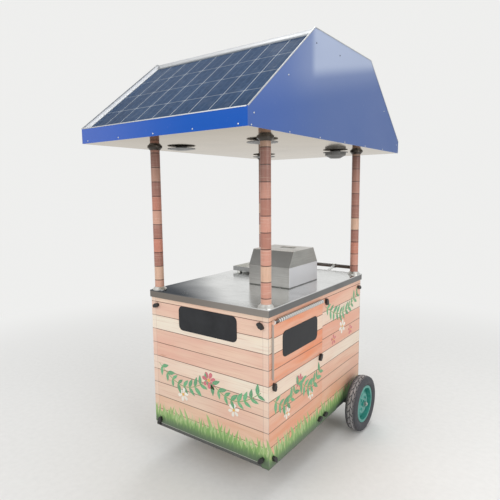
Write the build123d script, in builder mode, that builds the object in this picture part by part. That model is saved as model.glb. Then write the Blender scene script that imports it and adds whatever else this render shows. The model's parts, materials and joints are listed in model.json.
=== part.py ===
from build123d import *
import os
from math import acos, cos, pi, radians, sin, tan

# Solar sugarcane juicer cart. Millimetres, +Z up, origin on the floor under the middle of the body.
# The front of the body faces -Y, the push handle is at the rear (+Y), the folding table on the right (+X).

os.makedirs("parts", exist_ok=True)

# Body and chassis
body_width = 776
body_depth = 1084
chassis_height = 182
counter_height = 972
panel_thickness = 3
panel_lift = 20
chassis_tube = 40
chassis_wall = 2.5
frame_tube = 25
frame_wall = 1.5
floor_sheet = 6
side_seam_y = 10
side_joint_drop = 2

# Counter
counter_sheet = 2
board_thickness = 18
apron_height = 37
apron_overhang = 7
counter_corner = 6

# Panel screws
screw_inset = 40
seam_screw_inset = 34
screw_top_drop = 82
screw_joint_drop = 38
screw_bottom_lift = 20
screw_shank = 6
screw_hole_clearance = 0.4
wing_span = 40
wing_height = 15
wing_hub = 24
wing_lobe = 18

# Posts
post_diameter = 50
post_wall = 2
post_inset = 32.5
serving_height = 776
flange_diameter = 78
flange_thickness = 6
flange_cone_height = 18
flange_lip = 2

# Canopy and its three solar modules
module_length = 1006
module_width = 632
module_depth = 25
module_gap = 1
module_border = 11
module_glass = 4
module_ledge = 5
roof_pitch = 38.3
parapet = 18
eave_gap = 16
fascia_height = 73
canopy_skin = 1.5
canopy_tube = 20
ceiling_sheet_thickness = 1.2

# Ceiling lamps
lamp_x = 265
lamp_y = 400
lamp_diameter = 150
lamp_stem = 60
lamp_stem_height = 4
lamp_rim_top = 7
lamp_rim = 3
lamp_drop = 16
bowl_diameter = 126
bowl_side = 26
bowl_drop = 44

# Rear wheels and axle
tyre_diameter = 345
tyre_width = 76
tyre_tread_width = 62
tyre_shoulder_drop = 6
tyre_wall = 8
rim_diameter = 228
rim_seat_diameter = 206
rim_width = 58
rim_sheet = 4
rim_dish_diameter = 122
rim_dish_back = 4
rim_dish_sink = 8
rim_bolt_circle = 82
rim_bolt = 16
rim_bolt_height = 6
wheel_offset = 78
axle_y = 396
axle_diameter = 17
axle_collar = 27
axle_nut = 30
axle_nut_thickness = 12
axle_stub = 5
saddle_length = 60
saddle_wall = 6
hub_diameter = 40
hub_inner = 30
hub_outer = 26
running_clearance = 0.05
part_gap = 0.4

# Front castors
castor_x = 170
castor_y = -250
castor_trail = 40
castor_wheel_diameter = 150
castor_wheel_width = 38
castor_hub_width = 44
castor_plate_x = 100
castor_plate_y = 110
castor_sheet = 6
castor_plate_corner = 12
castor_race = 26
castor_bolt = 12
castor_nut = 20
castor_eye = 28
castor_band = 18
castor_shoulder = 6
castor_web = 19
castor_web_draft = 3
castor_hub = 36
fork_leg = 4

# Push handle
handle_tube = 25
handle_wall = 2
handle_span = 600
handle_reach = 116
handle_rise = 15
handle_root_drop = 75
handle_root_reach = 58
handle_bend = 42
handle_flange = 60
handle_flange_thickness = 4
stay_x = 148
stay_width = 22
stay_thickness = 4
stay_root = 5

# Drop-leaf side table
table_gap = 1.5
table_depth = 12
table_sheet = 2
table_front_y = -514
table_rear_y = -20
table_height = 268
table_neck = 12
table_pivot_drop = 65
sleeve_diameter = 22
sleeve_front_y = -478
sleeve_rear_y = -26
rod_diameter = 10
rod_bend = 10
rod_front_run = 15

# Juicer housing
case_left_x = -28
case_length = 271
case_front_y = -112
case_depth = 326
case_wall_height = 115
case_height = 203
hood_front_set = 46
hood_rear_set = 50
case_sheet = 2
slot_length = 140
slot_height = 38
slot_top_drop = 8
hood_pivot_out = 5
hood_pivot_up = 4
hood_hinge_inset = 54
mouth_length = 100
mouth_depth = 46
chute_length = 46
chute_sheet = 1.5

# Crushing rollers
gear_module = 2
main_teeth = 33
small_teeth = 25
gear_backlash = 0.3
gear_width = 20
pressure_angle = 20
nip_gap = 2
main_roller_diameter = 64
roller_length = 140
roller_x = 120
main_y = 60
main_lift = 103
feed_angle = 150
discharge_angle = -75
main_shaft = 25
small_shaft = 20
main_flutes = 28
small_flutes = 20
flute_side = 2.4
plate_thickness = 12
plate_gap = 4
plate_rim = 9
plate_foot = 174
bearing_ring = 11
gear_gap = 6
guide_gap = 8
guide_sheet = 3
guide_start = 185
guide_end = 258

# Belt drive
belt_radius_main = 48
belt_radius_motor = 24
belt_thickness = 8
belt_width = 9
belt_gap = 0.3
groove_depth = 11
groove_flare = 2
pulley_width = 20
pulley_gap = 6
belt_drop = 230
slot_margin = 10

# Gear motor
gearbox_length = 100
gearbox_width = 100
gearbox_height = 120
gearbox_corner = 10
gearbox_shaft_depth = 30
motor_diameter = 110
motor_length = 170
motor_ribs = 6
motor_rib_width = 8
motor_rib_height = 4
motor_gap = 12
mount_plate = 6
mount_length = 90
mount_foot = 27

# Juice tray, drain and can
tray_front_y = -30
tray_rear_y = 140
tray_height = 13
tray_sheet = 2
drain_y = 30
drain_diameter = 25
drain_wall = 2
drain_clearance = 1
can_diameter = 270
can_body_height = 400
can_shoulder = 70
can_neck_diameter = 150
can_neck_height = 50
can_sheet = 1.5
can_lid = 12
drain_above_can = 20

# Bagasse tray on the counter
bagasse_left_x = -350
bagasse_front_y = 150
bagasse_rear_y = 450
bagasse_right_x = 190
bagasse_arm_depth = 90
bagasse_gap = 6
bagasse_height = 28
bagasse_foot = 12
bagasse_foot_diameter = 30
bagasse_foot_inset = 30
bagasse_sheet = 1.5

# Electric pieces
battery_length = 330
battery_width = 173
battery_height = 215
battery_front_y = -445
battery_left_x = -335
battery_spacing = 190
battery_lid = 27
battery_corner = 9
terminal_diameter = 17
terminal_height = 17
terminal_inset = 26
controller_length = 190
controller_height = 120
controller_depth = 50
controller_y = -250
controller_lift = 447
controller_fins = 9
controller_fin_depth = 12
switch_x = 336
switch_drop = 197
switch_width = 60
switch_box_height = 110
switch_depth = 40
switch_corner = 8
rocker_width = 18
rocker_height = 26
rocker_sink = 4
rocker_proud = 6.4
rocker_dip = 2.8
rocker_pin = 4
pocket_margin = 4
pocket_depth = 12

# Rear door
door_width = 560
door_sill = 25
door_lintel = 105
door_gap = 3
door_depth = 20
door_sheet = 1.5
hinge_inset = 140
hinge_length = 60
hinge_barrel = 8
hinge_pin = 4
hinge_leaf = 36
hinge_sheet = 2
pull_length = 120
pull_reach = 32
pull_diameter = 10
pull_bend = 15
pull_inset = 50

# Places worked out from the sizes above
half_width = body_width / 2
half_depth = body_depth / 2
frame_x = half_width - panel_thickness
frame_y = half_depth - panel_thickness
chassis_top = chassis_height + chassis_tube
floor_top = chassis_top + floor_sheet
board_top = counter_height - counter_sheet
frame_top = board_top - board_thickness
panel_bottom = chassis_height + panel_lift
panel_height = frame_top - panel_bottom
post_x = half_width - post_inset
post_y = half_depth - post_inset
ceiling_height = counter_height + serving_height
axle_z = tyre_diameter / 2
wheel_x = half_width + wheel_offset
corner_tube = chassis_tube
table_pivot_z = counter_height - table_pivot_drop
table_top_z = table_pivot_z - table_neck
table_bottom_z = table_top_z - table_height
side_joint_z = table_bottom_z - side_joint_drop
door_bottom_z = chassis_top + door_sill
door_height = frame_top - door_lintel - door_bottom_z


def along_x(x, y, z):
    """Plane across the X axis, seen with Y to the right and Z up."""
    return Plane(origin=(x, y, z), x_dir=(0, 1, 0), z_dir=(1, 0, 0))


def along_y(x, y, z):
    """Plane across the Y axis, facing the rear."""
    return Plane(origin=(x, y, z), x_dir=(-1, 0, 0), z_dir=(0, 1, 0))


def along_z(x, y, z):
    """Level plane, facing up."""
    return Plane(origin=(x, y, z))


def facing_front(x, z):
    """Plane on the outside of the front panel, facing out."""
    return Plane(origin=(x, -half_depth, z), x_dir=(1, 0, 0), z_dir=(0, -1, 0))


def facing_side(side, y, z):
    """Plane on the outside of a side panel, facing out: side is 1 on the right and -1 on the left."""
    return Plane(origin=(side * half_width, y, z), x_dir=(0, side, 0), z_dir=(side, 0, 0))


def tube(plane, across, up, wall, length):
    """Rectangular tube that runs along the plane's normal."""
    with BuildPart() as bar:
        with BuildSketch(plane):
            Rectangle(across, up)
            Rectangle(across - 2 * wall, up - 2 * wall, mode=Mode.SUBTRACT)
        extrude(amount=length)
    return bar.part


def save_group(label, pieces):
    """Write pieces that stay separate solids as one node."""
    group = Compound(label=label, children=list(pieces))
    export_step(group, f"parts/{label}.step")


# Chassis: two side rails with cross members between them
rail_x = frame_x - chassis_tube / 2
rail_z = chassis_height + chassis_tube / 2
cross_length = 2 * (frame_x - chassis_tube)
castor_reach = (castor_plate_y - chassis_tube) / 2
cross_places = (-frame_y + chassis_tube / 2, castor_y - castor_reach, castor_y + castor_reach, axle_y,
                frame_y - chassis_tube / 2)
chassis = [tube(along_y(side * rail_x, -frame_y, rail_z), chassis_tube, chassis_tube, chassis_wall,
                2 * frame_y) for side in (-1, 1)]
chassis += [tube(along_x(-cross_length / 2, y, rail_z), chassis_tube, chassis_tube, chassis_wall,
                 cross_length) for y in cross_places]
save_group("chassis_frame", chassis)

# Cabinet frame: corner uprights, seam uprights, door jambs and the rails under the counter board
corner_x = frame_x - corner_tube / 2
corner_y = frame_y - corner_tube / 2
upright_height = frame_top - chassis_top
inner_x = frame_x - corner_tube
inner_y = frame_y - corner_tube
edge_x = frame_x - frame_tube / 2
edge_y = frame_y - frame_tube / 2
top_rail_z = frame_top - frame_tube / 2
jamb_x = door_width / 2 + door_gap + frame_tube / 2
seam_half = frame_tube / 2
uprights = [(sx * corner_x, sy * corner_y, corner_tube) for sx in (-1, 1) for sy in (-1, 1)]
uprights += [(side * edge_x, side_seam_y, frame_tube) for side in (-1, 1)]
cabinet = [tube(along_z(x, y, chassis_top), size, size, frame_wall, upright_height)
           for x, y, size in uprights]
cabinet += [tube(along_z(side * jamb_x, edge_y, chassis_top), frame_tube, frame_tube, frame_wall,
                 upright_height - frame_tube) for side in (-1, 1)]
cabinet += [tube(along_x(-inner_x, side * edge_y, top_rail_z), frame_tube, frame_tube, frame_wall,
                 2 * inner_x) for side in (-1, 1)]
front_bay = side_seam_y - seam_half + inner_y
rear_bay = inner_y - side_seam_y - seam_half
for side in (-1, 1):
    cabinet.append(tube(along_y(side * edge_x, -inner_y, top_rail_z), frame_tube, frame_tube, frame_wall,
                        front_bay))
    cabinet.append(tube(along_y(side * edge_x, side_seam_y + seam_half, top_rail_z), frame_tube, frame_tube,
                        frame_wall, rear_bay))
for rail_height in (side_joint_z, table_pivot_z):
    cabinet.append(tube(along_y(edge_x, -inner_y, rail_height), frame_tube, frame_tube, frame_wall,
                        front_bay))
save_group("cabinet_frame", cabinet)

# Cabinet floor, notched round the uprights
notches = uprights + [(side * jamb_x, edge_y, frame_tube) for side in (-1, 1)]
with BuildPart() as cabinet_floor:
    with BuildSketch(along_z(0, 0, chassis_top)):
        Rectangle(2 * frame_x, 2 * frame_y)
        for x, y, size in notches:
            with Locations((x, y)):
                Rectangle(size, size, mode=Mode.SUBTRACT)
    extrude(amount=floor_sheet)
cabinet_floor.part.label = "cabinet_floor"
export_step(cabinet_floor.part, "parts/cabinet_floor.step")

# Roller train: places in the Y-Z plane and along X
main_radius = main_roller_diameter / 2
pitch_main = gear_module * main_teeth / 2
pitch_small = gear_module * small_teeth / 2
roller_spacing = pitch_main + pitch_small
small_radius = roller_spacing - main_radius - nip_gap
main_z = counter_height + main_lift
feed_y = main_y + roller_spacing * cos(radians(feed_angle))
feed_z = main_z + roller_spacing * sin(radians(feed_angle))
discharge_y = main_y + roller_spacing * cos(radians(discharge_angle))
discharge_z = main_z + roller_spacing * sin(radians(discharge_angle))
roller_left = roller_x - roller_length / 2
roller_right = roller_x + roller_length / 2
left_plate_x = roller_left - plate_gap - plate_thickness
right_plate_x = roller_right + plate_gap
gear_left = left_plate_x - gear_gap - gear_width
pulley_left = gear_left - pulley_gap - pulley_width
belt_x = pulley_left + pulley_width / 2
motor_z = main_z - belt_drop

# Counter: plywood board under a folded stainless sheet, both cut for the belt and the drain
drain_radius = drain_diameter / 2
drain_hole = drain_radius + drain_clearance
belt_slot_x = pulley_width + slot_margin
belt_slot_y = 2 * (belt_radius_main + belt_thickness)


def cut_counter_holes(z, thickness):
    """Cut the belt slot and the drain hole through a sheet that lies above z."""
    with BuildSketch(along_z(0, 0, z)) as holes:
        with Locations((belt_x, main_y)):
            Rectangle(belt_slot_x, belt_slot_y)
        with Locations((roller_x, drain_y)):
            Circle(drain_hole)
    extrude(holes.sketch, amount=thickness, mode=Mode.SUBTRACT)


counter_x = body_width + 2 * apron_overhang
counter_y = body_depth + 2 * apron_overhang
with BuildPart() as counter_board:
    with BuildSketch(along_z(0, 0, frame_top)):
        RectangleRounded(counter_x - 2 * counter_sheet, counter_y - 2 * counter_sheet,
                         counter_corner - counter_sheet)
    extrude(amount=board_thickness)
    cut_counter_holes(frame_top, board_thickness)
counter_board.part.label = "counter_board"
export_step(counter_board.part, "parts/counter_board.step")

with BuildPart() as countertop:
    with BuildSketch(along_z(0, 0, counter_height - apron_height)):
        RectangleRounded(counter_x, counter_y, counter_corner)
    extrude(amount=apron_height)
    with BuildSketch(along_z(0, 0, counter_height - apron_height)):
        RectangleRounded(counter_x - 2 * counter_sheet, counter_y - 2 * counter_sheet,
                         counter_corner - counter_sheet)
    extrude(amount=apron_height - counter_sheet, mode=Mode.SUBTRACT)
    cut_counter_holes(board_top, counter_sheet)
countertop.part.label = "countertop"
export_step(countertop.part, "parts/countertop.step")

# Panels: each is a sheet from edge to edge with a hole for every screw that holds it
screw_top_z = counter_height - screw_top_drop
screw_bottom_z = panel_bottom + screw_bottom_lift
screw_hole = (screw_shank + screw_hole_clearance) / 2
front_screws = [(sx * (half_width - screw_inset), z) for sx in (-1, 1) for z in (screw_top_z, screw_bottom_z)]
rear_panel_screws = [(y, z) for y in (side_seam_y + seam_screw_inset, frame_y - seam_screw_inset)
                     for z in (screw_top_z, screw_bottom_z)]
lower_screws = [(y, z) for y in (-frame_y + screw_inset, side_seam_y - seam_screw_inset)
                for z in (side_joint_z - screw_joint_drop, screw_bottom_z)]
left_screws = [(y, z) for y in (-frame_y + screw_inset, side_seam_y, frame_y - screw_inset)
               for z in (screw_top_z, screw_bottom_z)]


def side_panel(side, y_front, y_rear, z_low, z_high, screws, holes):
    """Flat side panel with screw holes and further round holes given as (y, z, radius)."""
    middle_y = (y_front + y_rear) / 2
    middle_z = (z_low + z_high) / 2
    with BuildPart() as panel:
        with BuildSketch(facing_side(side, middle_y, middle_z)):
            Rectangle(y_rear - y_front, z_high - z_low)
            for y, z, radius in [(y, z, screw_hole) for y, z in screws] + holes:
                with Locations((side * (y - middle_y), z - middle_z)):
                    Circle(radius, mode=Mode.SUBTRACT)
        extrude(amount=-panel_thickness)
    return panel


with BuildPart() as front_panel:
    with BuildSketch(facing_front(0, panel_bottom + panel_height / 2)):
        Rectangle(body_width, panel_height)
        for x, z in front_screws:
            with Locations((x, z - panel_bottom - panel_height / 2)):
                Circle(screw_hole, mode=Mode.SUBTRACT)
    extrude(amount=-panel_thickness)
front_panel.part.label = "front_panel"
export_step(front_panel.part, "parts/front_panel.step")

left_panel = side_panel(-1, -frame_y, frame_y, panel_bottom, frame_top, left_screws, [])
left_panel.part.label = "left_panel"
export_step(left_panel.part, "parts/left_panel.step")

right_lower_panel = side_panel(1, -frame_y, side_seam_y, panel_bottom, side_joint_z, lower_screws, [])
right_lower_panel.part.label = "right_lower_panel"
export_step(right_lower_panel.part, "parts/right_lower_panel.step")

rod_radius = rod_diameter / 2
rod_front_y = sleeve_front_y - rod_bend - rod_front_run
rod_rear_y = sleeve_rear_y + rod_bend + 2 * part_gap
rod_holes = [(y, table_pivot_z, rod_radius + part_gap) for y in (rod_front_y, rod_rear_y)]
right_upper_panel = side_panel(1, -frame_y, side_seam_y, side_joint_z, frame_top, [], rod_holes)
right_upper_panel.part.label = "right_upper_panel"
export_step(right_upper_panel.part, "parts/right_upper_panel.step")

right_rear_panel = side_panel(1, side_seam_y, frame_y, panel_bottom, frame_top, rear_panel_screws, [])
right_rear_panel.part.label = "right_rear_panel"
export_step(right_rear_panel.part, "parts/right_rear_panel.step")

door_middle_z = door_bottom_z + door_height / 2
with BuildPart() as rear_panel:
    with BuildSketch(along_y(0, frame_y, panel_bottom + panel_height / 2)):
        Rectangle(body_width, panel_height)
        with Locations((0, door_middle_z - panel_bottom - panel_height / 2)):
            Rectangle(door_width + 2 * door_gap, door_height + 2 * door_gap, mode=Mode.SUBTRACT)
    extrude(amount=panel_thickness)
rear_panel.part.label = "rear_panel"
export_step(rear_panel.part, "parts/rear_panel.step")


def wing_screw(plane, turn):
    """Wing screw on a panel: two rounded lobes on a hub, and a shank through the panel."""
    across = plane.x_dir * cos(radians(turn)) + plane.y_dir * sin(radians(turn))
    face = Plane(origin=plane.origin, x_dir=across, z_dir=plane.z_dir)
    with BuildPart() as screw:
        with BuildSketch(face):
            Circle(wing_hub / 2)
            with GridLocations(wing_span - wing_lobe, 0, 2, 1):
                Circle(wing_lobe / 2)
        extrude(amount=wing_height)
        with BuildSketch(face):
            Circle(screw_shank / 2)
        extrude(amount=-panel_thickness)
    return screw.part


screw_turns = (20, 75, 140, 50, 110, 5, 160, 35, 90, 125, 65, 15)
screw_places = [facing_front(x, z) for x, z in front_screws]
screw_places += [facing_side(1, y, z) for y, z in rear_panel_screws + lower_screws]
screw_places += [facing_side(-1, y, z) for y, z in left_screws]
save_group("panel_screws", [wing_screw(plane, screw_turns[i % len(screw_turns)])
                            for i, plane in enumerate(screw_places)])

# Posts and their flanges
post_radius = post_diameter / 2
for name, sx, sy in (("post_front_right", 1, -1), ("post_front_left", -1, -1),
                     ("post_rear_right", 1, 1), ("post_rear_left", -1, 1)):
    with BuildPart() as post:
        with BuildSketch(along_z(sx * post_x, sy * post_y, counter_height)):
            Circle(post_radius)
            Circle(post_radius - post_wall, mode=Mode.SUBTRACT)
        extrude(amount=serving_height)
    post.part.label = name
    export_step(post.part, f"parts/{name}.step")


def post_flange(x, y, base, direction):
    """Round flange with a cone that closes on the post; direction is 1 upwards and -1 downwards."""
    rim = flange_diameter / 2
    with BuildPart() as flange:
        with BuildSketch(Plane(origin=(x, y, base), x_dir=(1, 0, 0), z_dir=(0, -1, 0))):
            with BuildLine():
                Polyline((post_radius, 0), (rim, 0), (rim, direction * flange_thickness),
                         (rim - flange_lip, direction * flange_thickness),
                         (post_radius + flange_lip, direction * flange_cone_height),
                         (post_radius, direction * flange_cone_height), close=True)
            make_face()
        revolve(axis=Axis((x, y, base), (0, 0, 1)))
    return flange.part


post_places = [(sx * post_x, sy * post_y) for sx in (-1, 1) for sy in (-1, 1)]
flanges = [post_flange(x, y, counter_height, 1) for x, y in post_places]
flanges += [post_flange(x, y, ceiling_height, -1) for x, y in post_places]
save_group("post_flanges", flanges)

# Canopy outline in the Y-Z plane: the modules lie between end sheets that stand above them as a parapet
pitch = radians(roof_pitch)
half_turn = tan(pitch / 2)
module_reach = module_depth * half_turn + module_gap + module_width
sunk_ridge = module_width / 2 + module_gap + module_depth * half_turn
ridge_half = sunk_ridge + parapet * half_turn
eave_reach = sunk_ridge + module_reach * cos(pitch) + eave_gap + canopy_skin
fascia_top = ceiling_height + fascia_height
ridge_height = fascia_top + (eave_reach - ridge_half) * tan(pitch)
module_top = ridge_height - parapet
inside_x = module_length / 2 + module_gap
skin_x = inside_x + canopy_skin
inside_y = eave_reach - canopy_skin
frame_bottom = ceiling_height + ceiling_sheet_thickness


def roof_corners(depth):
    """Front foot, both ridges and rear foot of the roof line pushed inwards by depth."""
    foot = fascia_top + canopy_skin * tan(pitch) - depth / cos(pitch)
    ridge = ridge_half - depth * half_turn
    top = ridge_height - depth
    return [(-inside_y, foot), (-ridge, top), (ridge, top), (inside_y, foot)]


def roof_bar(place, x_low):
    """Hollow bar of an end frame: place 0 is the front rafter, 1 the ridge rail, 2 the rear rafter."""
    outline = [roof_corners(parapet + module_depth + depth)
               for depth in (0, canopy_tube, frame_wall, canopy_tube - frame_wall)]
    shapes = [(outline[0], outline[1], 0, Mode.ADD), (outline[2], outline[3], frame_wall, Mode.SUBTRACT)]
    with BuildPart() as bar:
        for outer, inner, wall, mode in shapes:
            with BuildSketch(along_x(x_low + wall, 0, 0)):
                with BuildLine():
                    Polyline(outer[place], outer[place + 1], inner[place + 1], inner[place], close=True)
                make_face()
            extrude(amount=canopy_tube - 2 * wall, mode=mode)
        split(bisect_by=along_z(0, 0, frame_bottom), keep=Keep.TOP)
    return bar.part


# The bottom rails stay back from the eaves so that the rafters' feet clear them
rafter_inside = roof_corners(parapet + module_depth + canopy_tube)
foot_overlap = max(0, frame_bottom + canopy_tube - rafter_inside[0][1]) / tan(pitch)
rail_reach = inside_y - foot_overlap
bar_x = inside_x - canopy_tube
bottom_z = frame_bottom + canopy_tube / 2
purlin_z = module_top - module_depth - canopy_tube / 2
purlin_y = rafter_inside[2][0] - canopy_tube / 2
canopy = [roof_bar(place, x) for place in range(3) for x in (bar_x, -inside_x)]
canopy += [tube(along_y(side * (inside_x - canopy_tube / 2), -rail_reach, bottom_z), canopy_tube, canopy_tube,
                frame_wall, 2 * rail_reach) for side in (-1, 1)]
eave_bar_y = inside_y - canopy_tube / 2
cross_bars = [(y, bottom_z) for y in (-eave_bar_y, -post_y, post_y, eave_bar_y)]
cross_bars += [(-purlin_y, purlin_z), (purlin_y, purlin_z)]
canopy += [tube(along_x(-bar_x, y, z), canopy_tube, canopy_tube, frame_wall, 2 * bar_x)
           for y, z in cross_bars]
save_group("canopy_frame", canopy)

roof_outline = [(-eave_reach, ceiling_height), (eave_reach, ceiling_height), (eave_reach, fascia_top),
                (ridge_half, ridge_height), (-ridge_half, ridge_height), (-eave_reach, fascia_top)]


def canopy_end(x_low):
    """Sheet that closes one end of the canopy."""
    with BuildPart() as end:
        with BuildSketch(along_x(x_low, 0, 0)):
            with BuildLine():
                Polyline(*roof_outline, close=True)
            make_face()
        extrude(amount=canopy_skin)
    return end.part


save_group("canopy_ends", [canopy_end(inside_x), canopy_end(-skin_x)])

with BuildPart() as canopy_fascias:
    for y in (-eave_reach, eave_reach - canopy_skin):
        with BuildSketch(along_y(0, y, ceiling_height + fascia_height / 2)):
            Rectangle(2 * inside_x, fascia_height)
        extrude(amount=canopy_skin)
canopy_fascias.part.label = "canopy_fascias"
export_step(canopy_fascias.part, "parts/canopy_fascias.step")

with BuildPart() as ceiling_sheet:
    with BuildSketch(along_z(0, 0, ceiling_height)):
        Rectangle(2 * inside_x, 2 * inside_y)
    extrude(amount=ceiling_sheet_thickness)
ceiling_sheet.part.label = "ceiling_sheet"
export_step(ceiling_sheet.part, "parts/ceiling_sheet.step")

# Solar modules: one on each upper face of the canopy
slope_middle = module_reach - module_width / 2


def slope_plane(side):
    """Plane in the middle of a sloped module, facing out: side is -1 in front and 1 at the rear."""
    y = side * (sunk_ridge + slope_middle * cos(pitch))
    z = module_top - slope_middle * sin(pitch)
    return Plane(origin=(0, y, z), x_dir=(1, 0, 0), z_dir=(0, side * sin(pitch), cos(pitch)))


module_planes = [slope_plane(-1), along_z(0, 0, module_top), slope_plane(1)]
glass_length = module_length - 2 * module_border
glass_width = module_width - 2 * module_border


def module_frame(plane):
    """Aluminium frame of a module, with the ledge that the glass lies on."""
    with BuildPart() as border:
        with BuildSketch(plane):
            Rectangle(module_length, module_width)
            Rectangle(glass_length, glass_width, mode=Mode.SUBTRACT)
        extrude(amount=-module_depth)
        with BuildSketch(plane.offset(-2 * module_gap - module_glass)):
            Rectangle(glass_length, glass_width)
            Rectangle(glass_length - 2 * module_ledge, glass_width - 2 * module_ledge, mode=Mode.SUBTRACT)
        extrude(amount=-module_ledge)
    return border.part


def module_sheet(plane):
    """Glass and cells of a module, lying on the ledge just below the frame's edge."""
    with BuildPart() as sheet:
        with BuildSketch(plane.offset(-2 * module_gap)):
            Rectangle(glass_length, glass_width)
        extrude(amount=-module_glass)
    return sheet.part


save_group("solar_frames", [module_frame(plane) for plane in module_planes])
save_group("solar_glass", [module_sheet(plane) for plane in module_planes])

# Round lamps under the ceiling: flat discs, the rear right one with a bowl below it
lamp_radius = lamp_diameter / 2
stem_radius = lamp_stem / 2
bowl_radius = bowl_diameter / 2
rim_bottom = lamp_rim_top + lamp_rim
disc_profile = [(0, 0), (stem_radius, 0), (stem_radius, -lamp_stem_height), (lamp_radius, -lamp_rim_top),
                (lamp_radius, -rim_bottom)]
flat_face = [(stem_radius, -lamp_drop), (0, -lamp_drop)]
bowl_face = [(bowl_radius, -rim_bottom), (bowl_radius, -bowl_side), (stem_radius, -bowl_drop),
             (0, -bowl_drop)]


def ceiling_lamp(x, y, face):
    """Lamp that hangs from the ceiling, turned from the disc profile and the face below it."""
    with BuildPart() as lamp:
        with BuildSketch(Plane(origin=(x, y, ceiling_height), x_dir=(1, 0, 0), z_dir=(0, -1, 0))):
            with BuildLine():
                Polyline(*disc_profile, *face, close=True)
            make_face()
        revolve(axis=Axis((x, y, ceiling_height), (0, 0, 1)))
    return lamp.part


lamps = [ceiling_lamp(lamp_x, lamp_y, bowl_face)]
lamps += [ceiling_lamp(x, y, flat_face)
          for x, y in ((lamp_x, -lamp_y), (-lamp_x, lamp_y), (-lamp_x, -lamp_y))]
save_group("ceiling_lamp", lamps)

# Axle: shaft with inner collars, washers and nuts, held in two saddles under the side rails
axle_radius = axle_diameter / 2
nut_x = wheel_x + hub_outer + part_gap
axle_end = nut_x + axle_nut_thickness + axle_stub
collar_length = wheel_x - hub_inner - part_gap - frame_x
with BuildPart() as rear_axle:
    with BuildSketch(along_x(-axle_end, axle_y, axle_z)):
        Circle(axle_radius)
    extrude(amount=2 * axle_end)
    for x in (frame_x, -frame_x - collar_length):
        with BuildSketch(along_x(x, axle_y, axle_z)):
            Circle(axle_collar / 2)
        extrude(amount=collar_length)
    for x in (nut_x, -nut_x - axle_nut_thickness):
        with BuildSketch(along_x(x, axle_y, axle_z)):
            RegularPolygon(axle_nut / 2, 6)
        extrude(amount=axle_nut_thickness)
rear_axle.part.label = "rear_axle"
export_step(rear_axle.part, "parts/rear_axle.step")

saddle_drop = axle_radius + saddle_wall
saddle_height = chassis_height - axle_z + saddle_drop
with BuildPart() as axle_clamps:
    for side in (-1, 1):
        with BuildSketch(along_x(side * rail_x - chassis_tube / 2, axle_y, axle_z - saddle_drop)):
            Rectangle(saddle_length, saddle_height, align=(Align.CENTER, Align.MIN))
            with Locations((0, saddle_drop)):
                Circle(axle_radius, mode=Mode.SUBTRACT)
        extrude(amount=chassis_tube)
axle_clamps.part.label = "axle_clamps"
export_step(axle_clamps.part, "parts/axle_clamps.step")

# Wheels: hollow tyre on a dished rim
tyre_radius = tyre_diameter / 2
seat_radius = rim_seat_diameter / 2
half_tyre = tyre_width / 2
half_rim = rim_width / 2
hub_radius = hub_diameter / 2
flange_radius = rim_diameter / 2
bead_half = half_rim - rim_sheet - part_gap
wall_middle = (tyre_radius + seat_radius) / 2
shoulder_radius = tyre_radius - tyre_shoulder_drop
shoulder_half = tyre_tread_width / 2


def wheel_plane(x):
    """Plane through the axle, with X to the right and Z up, where wheel sections are drawn."""
    return Plane(origin=(x, axle_y, axle_z), x_dir=(1, 0, 0), z_dir=(0, -1, 0))


def wheel_tyre(x):
    """Tyre with a crowned tread and bulging side walls, hollow inside."""
    cavity_half = bead_half - tyre_wall
    with BuildPart() as tyre:
        with BuildSketch(wheel_plane(x)):
            with BuildLine():
                Line((-bead_half, seat_radius), (bead_half, seat_radius))
                Line((bead_half, seat_radius), (bead_half, flange_radius + part_gap))
                ThreePointArc((bead_half, flange_radius + part_gap), (half_tyre, wall_middle),
                              (shoulder_half, shoulder_radius))
                ThreePointArc((shoulder_half, shoulder_radius), (0, tyre_radius),
                              (-shoulder_half, shoulder_radius))
                ThreePointArc((-shoulder_half, shoulder_radius), (-half_tyre, wall_middle),
                              (-bead_half, flange_radius + part_gap))
                Line((-bead_half, flange_radius + part_gap), (-bead_half, seat_radius))
            make_face()
            with BuildLine():
                Polyline((-cavity_half, seat_radius), (cavity_half, seat_radius),
                         (half_tyre - tyre_wall, wall_middle), (shoulder_half - tyre_wall,
                          shoulder_radius - tyre_wall), (tyre_wall - shoulder_half,
                          shoulder_radius - tyre_wall), (tyre_wall - half_tyre, wall_middle), close=True)
            make_face(mode=Mode.SUBTRACT)
        revolve(axis=Axis((x, axle_y, axle_z), (1, 0, 0)))
    return tyre


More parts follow.
